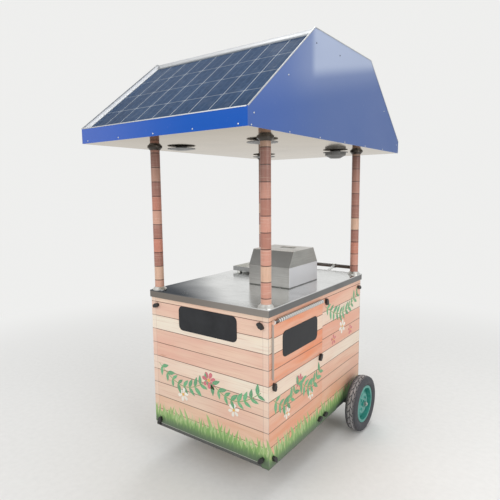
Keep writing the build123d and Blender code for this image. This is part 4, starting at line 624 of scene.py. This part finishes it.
def ceiling_mirror():
    """Mirror-finish sheet with a slight sag between its fixings."""
    net = Net("ceiling_mirror")
    cloud = net.noise(3, 3)
    net.bump(net.noise(3.5, 2, 0.4, (4.0, 1.0, 0.0)), 0.2, 0.005)
    # Partly painted reflection: the base tone is the sheet's steel made warm and dark, and the edge tint
    # dims it, to stand in for the warm surroundings mirrored in the ceiling
    tone = net.tones(cloud, srgb(170, 159, 144), srgb(197, 187, 173))
    gloss = net.span(cloud, 0.3, 0.7, 0.05, 0.10)
    return net.set(color=tone, metal=1.0, rough=gloss, edge=(0.80, 0.76, 0.70))


def plywood():
    """Raw plywood with long grain."""
    net = Net("plywood")
    grain = net.noise((4, 60, 60), 5, 0.6, warp=0.3)
    tone = net.ramp(grain, [(0.25, srgb(172, 142, 104)), (0.75, srgb(212, 186, 148))])
    net.bump(grain, 0.2, 0.0008)
    return net.set(color=tone, rough=net.span(grain, 0.2, 0.8, 0.6, 0.8))


def rubber(name, color, rough=0.75):
    """Rubber with fine pores and pale dust."""
    net = Net(name)
    pores = net.noise(420, 3)
    dust = net.span(net.noise(22, 5, 0.7), 0.48, 0.8)
    tone = net.tones(pores, scaled(color, 0.75), color)
    net.bump(pores, 0.2, 0.0005)
    return net.set(color=net.cover(tone, dust, 0.3, srgb(134, 132, 129)),
                   rough=net.span(dust, 0.0, 1.0, rough - 0.1, rough + 0.1))


# Tyre section as (distance from the wheel's middle, radius); the crown falls off as a parabola
SHOULDER = (0.031, 0.1665)
CROWN_FALL = (TYRE_RADIUS - SHOULDER[1]) / SHOULDER[0] ** 2
TREAD_DEPTH = 0.0055
TREAD_HALF = 0.020
WALL_TOP = SHOULDER[1] - 0.010
WALL_RING = 0.00419


def tyre_rubber():
    """Tyre: dark rubber, dusty worn blocks above dark grooves and fine rings on the side walls."""
    net = Net("tyre_rubber")
    radius = net.length(net.minus(net.y, AXLE_Y), net.minus(net.z, AXLE_Z))
    across = net.minus(net.size(net.x), WHEEL_X)
    crown = net.minus(TYRE_RADIUS, net.times(net.times(across, across), CROWN_FALL))
    pores = net.noise(380, 3)
    dust = net.noise(30, 4, 0.6)
    tone = net.tones(pores, srgb(54, 55, 60), srgb(74, 75, 80))
    worn = net.span(net.minus(crown, radius), 0.0010, 0.0030, 1.0, 0.0)
    worn = net.times(worn, net.below(net.size(across), TREAD_HALF, 0.0012))
    tone = net.cover(tone, worn, net.span(dust, 0.3, 0.7, 0.6, 1.0), srgb(158, 156, 157))
    tone = net.cover(tone, net.span(dust, 0.55, 0.8), 0.25, srgb(124, 121, 118))
    rings = net.op("SINE", net.times(radius, 2 * math.pi / WALL_RING))
    rings = net.times(rings, net.below(radius, WALL_TOP, 0.002))
    net.bump(net.plus(net.times(rings, 0.3), pores), 0.25, 0.0006)
    return net.set(color=tone, rough=net.span(dust, 0.3, 0.8, 0.6, 0.85))


def rim_paint():
    """Gloss teal rim with dust in the dish and chipped specks."""
    net = Net("rim_paint")
    dust = net.noise(26, 5, 0.65)
    chips = net.span(net.noise(110, 4, 0.6, (3, 3, 3)), 0.68, 0.74)
    tone = net.tones(dust, srgb(46, 134, 124), srgb(76, 162, 150))
    tone = net.cover(tone, net.span(dust, 0.55, 0.8), 0.25, srgb(168, 176, 168))
    tone = net.cover(tone, chips, 0.5, srgb(148, 148, 146))
    net.bump(net.minus(dust, chips), 0.08, 0.0005)
    return net.set(color=tone, rough=net.span(dust, 0.3, 0.8, 0.3, 0.5), coat=0.15, coat_rough=0.2)


def print_ink():
    """Printed motif that takes its colour from the mesh."""
    net = Net("print_ink")
    ink = net.new("ShaderNodeAttribute", attribute_name="Ink")
    fine = net.noise(160, 3)
    tone = net.mix(net.span(fine, 0.4, 0.8, 0.0, 0.25), ink.outputs["Color"], srgb(222, 214, 200))
    net.bump(fine, 0.05, 0.0003)
    return net.set(color=tone, rough=net.span(fine, 0.3, 0.7, 0.4, 0.52), coat=0.08)


def black_plate():
    """Dark plate: satin film with faint brushed marks and rubbed patches."""
    net = Net("black_plate")
    rub = net.noise(11, 4, 0.6)
    marks = net.noise((8, 8, 500), 2)
    tone = net.ramp(rub, [(0.3, srgb(30, 31, 34)), (0.75, srgb(46, 47, 50))])
    net.bump(marks, 0.05, 0.0003)
    return net.set(color=tone, rough=net.span(rub, 0.3, 0.75, 0.4, 0.55), specular=0.25)


PAINTS = {
    "chassis_paint": (srgb(78, 79, 77), 0.45),
    "frame_paint": (srgb(128, 129, 130), 0.45),
    "plate_paint": (srgb(112, 124, 132), 0.4),
    "motor_paint": (srgb(102, 121, 132), 0.38),
}
STEELS = {
    "stainless": (srgb(186, 187, 185), 0.27, (5, 300, 300)),
    "plated_steel": (srgb(196, 196, 192), 0.34, 60, 0.25),
    "polished_steel": (srgb(112, 112, 112), 0.3, 90, 0.2),
    "cast_aluminium": (srgb(206, 206, 204), 0.36, 80, 0.3),
    "roller_steel": (srgb(190, 192, 194), 0.24, (300, 20, 20), 0.15),
    "bushing_bronze": ((0.60, 0.40, 0.18), 0.32, 120, 0.2),
    "pulley_iron": (srgb(134, 134, 136), 0.42, (200, 30, 30), 0.3),
    "controller_case": (srgb(124, 129, 134), 0.42, (40, 40, 300), 0.1),
    "edge_trim": (srgb(186, 188, 190), 0.42, (3, 180, 180), 0.08),
}
PLASTICS = {
    "screw_black": (srgb(34, 33, 34), 0.45),
    "battery_case": (srgb(45, 46, 50), 0.5),
    "switch_grey": (srgb(172, 174, 174), 0.45),
    "rocker_red": (srgb(178, 32, 28), 0.3, 0.2),
    "lamp_shell": (srgb(108, 108, 107), 0.4),
}
looks = {
    "handle_paint": paint("handle_paint", srgb(66, 56, 49), 0.2, 0.6, wear_share=0.12),
    "castor_rubber": rubber("castor_rubber", srgb(66, 66, 66)),
    "belt_rubber": rubber("belt_rubber", srgb(42, 42, 42), 0.8),
    "plywood": plywood(),
    "post_print": post_print(),
    "ceiling_mirror": ceiling_mirror(),
    "module_glass": solar_cells(),
    "tyre_rubber": tyre_rubber(),
    "rim_paint": rim_paint(),
    "ink": print_ink(),
    "black_plate": black_plate(),
}
for make, table in ((paint, PAINTS), (steel, STEELS), (plastic, PLASTICS)):
    looks |= {name: make(name, *values) for name, values in table.items()}
own_looks = {
    "countertop": counter_steel(),
    "post_flanges": flange_metal(),
    "front_panel": printed("print_front", "x", [FRONT_FACE]),
    "rear_panel": printed("print_rear", "x", [REAR_FACE]),
    "rear_door": printed("print_door", "x", [REAR_FACE]),
    "left_panel": printed("print_left", "y", [LEFT_FACE]),
    "right_lower_panel": printed("print_right_lower", "y", [RIGHT_FACE, FRONT_FACE], 0.7, CHASSIS_FOOT,
                                 DARK_HEM),
    "right_upper_panel": printed("print_right_upper", "y", [RIGHT_FACE], 0.6),
    "right_rear_panel": printed("print_right_rear", "y", [RIGHT_FACE], 0.42, CHASSIS_FOOT, DARK_HEM),
    "side_table": table_print(),
    "canopy_fascias": canopy_sheet("fascia_blue", srgb(22, 84, 174), srgb(132, 138, 192), 0.38, 0.3),
    "canopy_ends": canopy_sheet("end_blue", srgb(80, 102, 152), srgb(196, 206, 224), 0.40, deeper=0.4),
    "solar_frames": module_rail(),
    "juicer_case": case_steel(),
    "bagasse_tray": tray_steel(),
    "juicer_hood": hood_steel(),
}
slot_of = {row["node"]: row["material_slot"] for row in frame["record"]["subparts"]}


def dress(obj, material):
    obj.data.materials.clear()
    obj.data.materials.append(material)


for name, obj in nodes.items():
    dress(obj, own_looks.get(name) or looks[slot_of[name]])


def add(name, data):
    obj = bpy.data.objects.new(name, data)
    scene.collection.objects.link(obj)
    return obj


# Pieces made here
def piece(name, bm, material, body, smooth=False):
    """Turns a bmesh in the frame's coordinates into a piece that rides on a body."""
    bmesh.ops.recalc_face_normals(bm, faces=bm.faces)
    mesh = bpy.data.meshes.new(name)
    bm.to_mesh(mesh)
    bm.free()
    for polygon in mesh.polygons:
        polygon.use_smooth = smooth
    obj = add(name, mesh)
    dress(obj, material)
    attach(obj, body)
    return obj


def skin(bm, low, high):
    """Joins two rings of points with a band of quads."""
    following = zip(low[1:] + low[:1], high[1:] + high[:1])
    return [bm.faces.new((a, b, c, d)) for a, d, (b, c) in zip(low, high, following)]


def slab(bm, outline, place, thickness, ink=None):
    """Closed sheet from a flat outline; place maps (u, v, height) to a point."""
    base = [bm.verts.new(place(u, v, 0.0)) for u, v in outline]
    top = [bm.verts.new(place(u, v, thickness)) for u, v in outline]
    faces = [bm.faces.new(base), bm.faces.new(top[::-1]), *skin(bm, base, top)]
    if ink:
        layer = bm.loops.layers.float_color.get("Ink") or bm.loops.layers.float_color.new("Ink")
        for face in faces:
            for loop in face.loops:
                loop[layer] = (*ink, 1.0)
    return faces


def rounded(width, height, radius, steps=6):
    """Outline of a rectangle with round corners about the origin."""
    points = []
    for cx, cy, start in ((1, 1, 0), (-1, 1, 90), (-1, -1, 180), (1, -1, 270)):
        for k in range(steps + 1):
            angle = math.radians(start + 90 * k / steps)
            points.append((cx * (width / 2 - radius) + radius * math.cos(angle),
                           cy * (height / 2 - radius) + radius * math.sin(angle)))
    return points


# Points on the outer faces: u runs along the face, v up, h and lift outward
def on_front(u, v, h, lift=0.0):
    return Vector((u, FRONT_Y - lift - h, v))


def on_right(u, v, h, lift=0.0):
    return Vector((RIGHT_X + lift + h, u, v))


def on_left(u, v, h, lift=0.0):
    return Vector((LEFT_X - lift - h, u, v))


def on_table(u, v, h):
    return Vector((TABLE_X + h, u, v))


# Two dark plates with round corners
PLATE_THICK = 0.0022
PLATE_CORNER = 0.026
PLATE_EASE = 0.0009


def plate(name, center, size, place, body):
    bm = bmesh.new()
    outline = [(center[0] + u, center[1] + v) for u, v in rounded(*size, PLATE_CORNER)]
    faces = slab(bm, outline, place, PLATE_THICK)
    rim = list(faces[1].edges)
    bmesh.ops.bevel(bm, geom=rim, offset=PLATE_EASE, segments=2, profile=0.6, affect="EDGES")
    piece(name, bm, looks["black_plate"], body)


plate("front_plate", (0.013, 0.845), (0.386, 0.131), on_front, "cart")
plate("table_plate", (-0.262, 0.779), (0.353, 0.129), on_table, "table")


# Folded foot of the right panels, which hides the chassis and turns the front corner
FOLD_REAR = 0.205
FOLD_HEIGHT = PANEL_FOOT - CHASSIS_FOOT - 0.0002
bm = bmesh.new()
outline = [(RIGHT_X - FOLD_RETURN, FRONT_Y), (RIGHT_X, FRONT_Y),
           (RIGHT_X, FOLD_REAR), (RIGHT_X - FOLD, FOLD_REAR),
           (RIGHT_X - FOLD, FRONT_Y + FOLD), (RIGHT_X - FOLD_RETURN, FRONT_Y + FOLD)]
slab(bm, outline, lambda u, v, h: Vector((u, v, CHASSIS_FOOT + h)), FOLD_HEIGHT)
piece("right_foot_fold", bm, own_looks["right_lower_panel"], "cart")


# Rivets along the canopy's foot, at its corners and up its slopes
RIVET_RADIUS = 0.0036
RIVET_SIDES = 10
# Rings of a low dome as shares of its radius: how wide and how high
RIVET_DOME = ((1.0, 0.0), (0.92, 0.28), (0.62, 0.5))


def rivet(bm, center, normal):
    """Low domed head on a face with the given normal of length 1."""
    center, normal = Vector(center), Vector(normal)
    side = normal.orthogonal().normalized()
    other = normal.cross(side)
    angles = [2 * math.pi * k / RIVET_SIDES for k in range(RIVET_SIDES)]
    spokes = [side * math.cos(a) + other * math.sin(a) for a in angles]
    rings = [[bm.verts.new(center + (spoke * wide + normal * high) * RIVET_RADIUS) for spoke in spokes]
             for wide, high in RIVET_DOME]
    for low, high in zip(rings, rings[1:]):
        skin(bm, low, high)
    bm.faces.new(rings[-1])
    bm.faces.new(rings[0][::-1])


RIVET_INSET = 0.011
FASCIA_ROW = 0.46
FOOT_ROW = 0.826
FOOT_INSET = 0.006
CORNER_INSET = (0.038, 0.022)
SLOPE_INSET = (0.286, -0.160)
bm = bmesh.new()
for sign in (-1, 1):
    for k in range(5):
        rivet(bm, (FASCIA_ROW * (k / 2 - 1), sign * EAVE_Y, CEILING + RIVET_INSET), (0, sign, 0))
    for k in range(7):
        rivet(bm, (sign * SKIN_X, FOOT_ROW * (k / 3 - 1), CEILING + FOOT_INSET), (sign, 0, 0))
    for end in (-1, 1):
        for inward, down in (CORNER_INSET, SLOPE_INSET):
            rivet(bm, (sign * SKIN_X, end * (EAVE_Y - inward), EAVE_TOP - down), (sign, 0, 0))
piece("canopy_rivets", bm, looks["cast_aluminium"], "cart", True)

# Two dark screws high on each end sheet
SCREW_DROP = 0.064
SCREW_PLACES = (-0.318, -0.0725)
bm = bmesh.new()
for sign in (-1, 1):
    for y in SCREW_PLACES:
        rivet(bm, (sign * SKIN_X, y, RIDGE_Z - SCREW_DROP), (sign, 0, 0))
piece("canopy_screws", bm, looks["screw_black"], "cart", True)


# Aluminium channels over the canopy's edges and rails over the module joints
def sweep(bm, path, profile, across, ups):
    """Closed bar along a path; profile points are (across, up) with one up direction per path point."""
    rings = [[bm.verts.new(Vector(p) + across * a + up * b) for a, b in profile] for p, up in zip(path, ups)]
    for low, high in zip(rings, rings[1:]):
        skin(bm, low, high)
    bm.faces.new(rings[0][::-1])
    bm.faces.new(rings[-1])


X_AXIS = Vector((1, 0, 0))
MIRROR_Y = Vector((1, -1, 1))
CHANNEL_WALL = 0.0012
CHANNEL_LEG = 0.003
CHANNEL_PLAY = 0.0002
CHANNEL_GAP = SHEET / 2 + CHANNEL_PLAY
CHANNEL_OUT = CHANNEL_GAP + CHANNEL_WALL
channel = [(-CHANNEL_OUT, -CHANNEL_LEG), (-CHANNEL_GAP, -CHANNEL_LEG), (-CHANNEL_GAP, CHANNEL_PLAY),
           (CHANNEL_GAP, CHANNEL_PLAY), (CHANNEL_GAP, -CHANNEL_LEG), (CHANNEL_OUT, -CHANNEL_LEG),
           (CHANNEL_OUT, CHANNEL_WALL), (-CHANNEL_OUT, CHANNEL_WALL)]
half = ROOF_PITCH / 2
lean = Vector((0, -math.sin(ROOF_PITCH), math.cos(ROOF_PITCH)))
mitre = Vector((0, -math.sin(half), math.cos(half))) / math.cos(half)
bm = bmesh.new()
for sign in (-1, 1):
    x = sign * (SKIN_X - SHEET / 2)
    edge = [(x, -EAVE_Y, EAVE_TOP), (x, -RIDGE_Y, RIDGE_Z), (x, RIDGE_Y, RIDGE_Z), (x, EAVE_Y, EAVE_TOP)]
    sweep(bm, edge, channel, X_AXIS, [lean, mitre, mitre * MIRROR_Y, lean * MIRROR_Y])
EAVE_HALF = SKIN_X - SHEET - 0.004
for sign in (-1, 1):
    y = sign * (EAVE_Y - SHEET / 2)
    outline = [(y + a, EAVE_TOP + b) for a, b in channel]
    slab(bm, outline, lambda u, v, h: Vector((-EAVE_HALF + h, u, v)), 2 * EAVE_HALF)
RAIL_HALF = SKIN_X - SHEET - 0.006
RAIL_WIDTH = 0.010
STRIP_RISE = 0.0014
RAIL_RISE = 0.0165
# Flat bar with eased top edges, as shares of its width and rise
RAIL_FORM = [(0.0, 0.0), (1.0, 0.0), (1.0, 0.6), (0.9, 1.0), (0.1, 1.0), (0.0, 0.6)]
for sign in (-1, 1):
    down = Vector((0, sign * math.cos(ROOF_PITCH), -math.sin(ROOF_PITCH)))
    out = Vector((0, sign * math.sin(ROOF_PITCH), math.cos(ROOF_PITCH)))
    inward = Vector((0, -sign, 0))
    ridge = Vector((0, sign * MODULE_RIDGE_Y, MODULE_TOP))
    for across, up, rise in ((down, out, STRIP_RISE), (inward, Vector((0, 0, 1)), RAIL_RISE)):
        profile = [(RAIL_WIDTH * a, rise * b) for a, b in RAIL_FORM]
        sweep(bm, [ridge - X_AXIS * RAIL_HALF, ridge + X_AXIS * RAIL_HALF], profile, across, [up, up])
piece("canopy_trim", bm, looks["edge_trim"], "cart")


# Tyres with moulded blocks, in the place of the plain ones
def arc(start, middle, end, count):
    """Points on the circle through three points, from start to end."""
    a, b, c = (complex(*point) for point in (start, middle, end))
    share = (c - a) / (b - a)
    center = a + (b - a) * (share - abs(share) ** 2) / (2j * share.imag)
    turn = cmath.phase((c - center) / (a - center))
    points = [center + (a - center) * cmath.rect(1.0, turn * k / count) for k in range(count + 1)]
    return [(point.real, point.imag) for point in points]


SEAT_RADIUS = 0.103
BEAD = (0.0246, 0.1144)
BULGE = (0.038, 0.13775)
SHARP_ANGLE = math.radians(32)
# Blocks round the tyre: along one pitch a groove floor, its wall and the block's top
BLOCKS = 24
BLOCK_STEPS = (0.00, 0.11, 0.16, 0.95)
BLOCK_LIFTS = (0.0, 0.0, 1.0, 1.0)
# Pitches that a groove slips per metre outward, where the next row turns back, and where it runs straight
BLOCK_SLANT = 28.0
ROW_SPLIT = 0.016
SLANT_END = 0.034
# Crown columns as (x, lift): low in the middle groove and in the one between the rows
CROWN = [(0.0, 0.0), (0.0010, 0.0), (0.0016, 1.0), (0.006, 1.0), (0.0105, 1.0), (0.0142, 1.0),
         (0.0149, 0.0), (0.0171, 0.0), (0.0178, 1.0), (0.0225, 1.0), (0.027, 1.0), (SHOULDER[0], 1.0)]


def tread_section():
    """Section as (x, radius, slip along the pitch, groove depth, lift), from the left bead to the right."""
    crown = [(x, TYRE_RADIUS - CROWN_FALL * x**2, lift) for x, lift in CROWN]
    wall = [(x, r, 1.0) for x, r in arc(SHOULDER, BULGE, BEAD, 12)[1:]]
    section = []
    travel = 0.0
    last = crown[0]
    for x, r, lift in crown + wall + [(BEAD[0], SEAT_RADIUS, 1.0)]:
        travel += math.hypot(x - last[0], r - last[1])
        last = (x, r)
        reach = min(travel, SLANT_END)
        slip = reach * BLOCK_SLANT if reach < ROW_SPLIT else 0.5 + (2 * ROW_SPLIT - reach) * BLOCK_SLANT
        section.append((x, r, slip, TREAD_DEPTH if x < TREAD_HALF else 0.0, lift))
    left = [(-x, r, slip + 0.5, depth, lift) for x, r, slip, depth, lift in section[:0:-1]]
    return left + section


def tyre(name, body, node, x_middle):
    """Ring of the tyre's section whose edges follow slanted blocks, each row turned against the next."""
    section = tread_section()
    bm = bmesh.new()
    rings = []
    for k in range(BLOCKS):
        for step, raised in zip(BLOCK_STEPS, BLOCK_LIFTS):
            ring = []
            for x, r, slip, depth, lift in section:
                angle = 2 * math.pi * (k + step + slip) / BLOCKS
                radius = r - depth * (1.0 - raised * lift)
                ring.append(bm.verts.new((x_middle + x, AXLE_Y + radius * math.cos(angle),
                                          AXLE_Z + radius * math.sin(angle))))
            rings.append(ring)
    for here, there in zip(rings, rings[1:] + rings[:1]):
        skin(bm, here, there)
    obj = piece(name, bm, looks["tyre_rubber"], body, True)
    obj.data.set_sharp_from_angle(angle=SHARP_ANGLE)
    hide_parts(node)


tyre("tread_tyre_right", "wheel_right", "tyre_right", WHEEL_X)
tyre("tread_tyre_left", "wheel_left", "tyre_left", -WHEEL_X)


# Printed motifs: leaf garlands and small blossoms, each an ink film on the face
LEAF = srgb(92, 162, 116)
LEAF_PALE = srgb(150, 196, 132)
STEM = srgb(124, 158, 96)
WHITE_PETAL = srgb(236, 232, 222)
ROSE_PETAL = srgb(204, 104, 116)
BUTTON = srgb(226, 178, 74)
INK_FILM = 0.0002
BUTTON_FILM = 0.0003
# Heights of the films above the face, so that none lies in another
STEM_LIFT = 0.0001
LEAF_LIFT = 0.0004
LEAF_LIFT_STEP = 0.0002
RIB_LIFT = 0.0003
PETAL_LIFT = 0.0003
BUTTON_LIFT = 0.0009
LEAF_LENGTH = 0.058
LEAF_STEPS = 7
STEM_HALF = 0.0022
STEM_STEPS = 24
PETAL_STEPS = 12
rng = random.Random(11)


def ink_slab(bm, outline, place, lift, ink, thickness=INK_FILM):
    slab(bm, outline, lambda u, v, h: place(u, v, h, lift), thickness, ink)


def turned(root, angle, t, s):
    """Point at t along a direction from the root and s to its left."""
    cos, sin = math.cos(angle), math.sin(angle)
    return root[0] + cos * t - sin * s, root[1] + sin * t + cos * s


def leaf(bm, root, angle, length, width, place, ink, lift):
    """Pointed oval leaf with a pale midrib."""
    def spot(t, s):
        return turned(root, angle, t, s)

    shares = [k / LEAF_STEPS for k in range(1, LEAF_STEPS)]
    edge = [(length * t, width / 2 * math.sin(math.pi * t ** 0.8)) for t in shares]
    outline = [spot(0, 0)] + [spot(t, s) for t, s in edge] + [spot(length, 0)]
    outline += [spot(t, -s) for t, s in reversed(edge)]
    ink_slab(bm, outline, place, lift, ink)
    rib = [spot(0, width * 0.03), spot(length * 0.9, 0), spot(0, -width * 0.03)]
    ink_slab(bm, rib, place, lift + RIB_LIFT, LEAF_PALE)


def garland(bm, start, end, sag, pairs, place):
    """Hanging stem between two points with leaves along both sides."""
    def stem(t):
        drop = sag * math.sin(math.pi * t)
        return start[0] + (end[0] - start[0]) * t, start[1] + (end[1] - start[1]) * t - drop

    line = [stem(k / STEM_STEPS) for k in range(STEM_STEPS + 1)]
    outline = [(u, v + STEM_HALF) for u, v in line] + [(u, v - STEM_HALF) for u, v in reversed(line)]
    ink_slab(bm, outline, place, STEM_LIFT, STEM)
    for k in range(pairs):
        t = (k + 0.5) / pairs
        here, there = stem(t - 0.01), stem(t + 0.01)
        heading = math.atan2(there[1] - here[1], there[0] - here[0])
        for sign in (-1, 1):
            size = LEAF_LENGTH * rng.uniform(0.8, 1.15)
            leaf(bm, stem(t), heading + sign * rng.uniform(0.75, 1.1), size, size * 0.38, place,
                 scaled(LEAF, rng.uniform(0.8, 1.2)), LEAF_LIFT + LEAF_LIFT_STEP * (k % 4))


def blossom(bm, center, radius, petals, ink, place):
    """Open flower: rounded petals round a small button."""
    turns = [2 * math.pi * i / PETAL_STEPS for i in range(PETAL_STEPS)]
    for k in range(petals):
        angle = 2 * math.pi * (k + 0.3) / petals
        outline = [turned(center, angle, radius * (0.60 + 0.40 * math.cos(a)),
                          radius * 0.30 * math.sin(a) * (0.75 + 0.25 * math.cos(a))) for a in turns]
        ink_slab(bm, outline, place, PETAL_LIFT * (1 + k % 2), scaled(ink, rng.uniform(0.92, 1.04)))
    button = [turned(center, a, radius * 0.2, 0.0) for a in turns]
    ink_slab(bm, button, place, BUTTON_LIFT, BUTTON, BUTTON_FILM)


def motifs(name, place, garlands, blossoms):
    """Garlands as (start, end, sag, leaf pairs), blossoms as (center, radius, petals, ink)."""
    bm = bmesh.new()
    for values in garlands:
        garland(bm, *values, place)
    for values in blossoms:
        blossom(bm, *values, place)
    piece(name, bm, looks["ink"], "cart")


motifs("front_motifs", on_front,
       [((-0.345, 0.560), (0.020, 0.545), 0.085, 9),
        ((0.020, 0.545), (0.345, 0.560), 0.075, 8)],
       [((-0.165, 0.420), 0.040, 6, WHITE_PETAL),
        ((0.020, 0.545), 0.046, 7, ROSE_PETAL),
        ((0.180, 0.428), 0.036, 6, WHITE_PETAL)])
motifs("right_motifs", on_right,
       [((-0.500, 0.520), (-0.250, 0.530), 0.070, 7),
        ((-0.250, 0.530), (-0.010, 0.520), 0.070, 7),
        ((0.040, 0.860), (0.500, 0.860), 0.085, 11)],
       [((-0.250, 0.530), 0.036, 7, ROSE_PETAL),
        ((-0.375, 0.405), 0.032, 6, WHITE_PETAL),
        ((-0.125, 0.410), 0.032, 6, WHITE_PETAL),
        ((0.270, 0.690), 0.044, 6, WHITE_PETAL),
        ((0.150, 0.640), 0.032, 5, ROSE_PETAL),
        ((0.390, 0.640), 0.032, 5, ROSE_PETAL)])
motifs("left_motifs", on_left,
       [((-0.430, 0.600), (-0.020, 0.590), 0.090, 10),
        ((-0.020, 0.590), (0.390, 0.600), 0.090, 10)],
       [((-0.020, 0.590), 0.044, 7, ROSE_PETAL),
        ((-0.225, 0.455), 0.038, 6, WHITE_PETAL),
        ((0.185, 0.455), 0.038, 6, WHITE_PETAL)])


# Stage, light and camera
PALE = (0.86, 0.86, 0.85)
EVEN_LIGHT = 0.60
FLOOR_TONES = ((0.77, 0.77, 0.76), (0.80, 0.80, 0.79))
FLOOR_FADE = (1.7, 4.2)
FLOOR_HALF = 40.0


def floor_material():
    """Pale matt floor that fades into the background's own tone far out."""
    net = Net("floor_pale")
    grain = net.noise(30, 3)
    net.set(color=net.tones(grain, *FLOOR_TONES), rough=0.75, specular=0.1)
    glow = net.new("ShaderNodeEmission")
    net.put(glow.inputs["Color"], PALE)
    blend = net.new("ShaderNodeMixShader")
    net.put(blend.inputs[0], net.span(net.length(net.x, net.y), *FLOOR_FADE))
    net.put(blend.inputs[1], net.bsdf.outputs[0])
    net.put(blend.inputs[2], glow.outputs[0])
    net.put(net.tree.nodes["Material Output"].inputs["Surface"], blend.outputs[0])
    return net.mat


floor_mesh = bpy.data.meshes.new("floor")
corners = [(FLOOR_HALF * a, FLOOR_HALF * b, 0.0) for a, b in ((-1, -1), (1, -1), (1, 1), (-1, 1))]
floor_mesh.from_pydata(corners, [], [(0, 1, 2, 3)])
floor = add("floor", floor_mesh)
dress(floor, floor_material())

# Background: even light for the part, the floor's own tone where it is seen or mirrored
world = bpy.data.worlds.new("studio")
scene.world = world
world.use_nodes = True
tree = world.node_tree
background = tree.nodes["Background"]
shown = tree.nodes.new("ShaderNodeBackground")
for node, strength in ((background, EVEN_LIGHT), (shown, 1.0)):
    node.inputs["Color"].default_value = (*PALE, 1.0)
    node.inputs["Strength"].default_value = strength
path = tree.nodes.new("ShaderNodeLightPath")
either = tree.nodes.new("ShaderNodeMath")
either.operation = "MAXIMUM"
choose = tree.nodes.new("ShaderNodeMixShader")
for socket, name in zip(either.inputs, ("Is Camera Ray", "Is Glossy Ray")):
    tree.links.new(path.outputs[name], socket)
for socket, node in zip(choose.inputs, (either, background, shown)):
    tree.links.new(node.outputs[0], socket)
tree.links.new(choose.outputs[0], tree.nodes["World Output"].inputs["Surface"])


def lamp(name, place, target, size, power):
    """Soft rectangular lamp that faces its target."""
    data = bpy.data.lights.new(name, "AREA")
    data.shape = "RECTANGLE"
    data.size, data.size_y = size
    data.energy = power
    obj = add(name, data)
    obj.location = place
    obj.rotation_euler = (Vector(target) - Vector(place)).to_track_quat("-Z", "Y").to_euler()


lamp("key", (-0.6, -4.8, 3.4), (0, 0, 0.9), (4.4, 3.2), 105)
lamp("fill", (4.4, -1.4, 2.6), (0, 0, 0.9), (2.6, 2.6), 80)
lamp("top", (0.4, 0.8, 5.2), (0, 0, 1.0), (3.5, 3.5), 80)
lamp("back", (-1.6, 3.4, 5.2), (0, 0, 1.0), (2.6, 2.2), 55)

# Camera solved from the photo's straight edges: its place, its axes and its lens in millimetres
CAMERA_PLACE = (1.5084, -2.2321, 1.5139)
RIGHT = Vector((0.81164, 0.58410, -0.00922))
UP = Vector((-0.06854, 0.11089, 0.99147))
AHEAD = Vector((-0.58013, 0.80408, -0.13003))
SENSOR = 36.0
LENS = 32.816
camera_data = bpy.data.cameras.new("camera")
camera_data.sensor_width = SENSOR
camera_data.lens = LENS
camera = add("camera", camera_data)
turn = Matrix((RIGHT, UP, -AHEAD)).transposed().to_4x4()
camera.matrix_world = Matrix.Translation(CAMERA_PLACE) @ turn
scene.camera = camera
scene.view_settings.view_transform = "Standard"

bpy.context.view_layer.update()
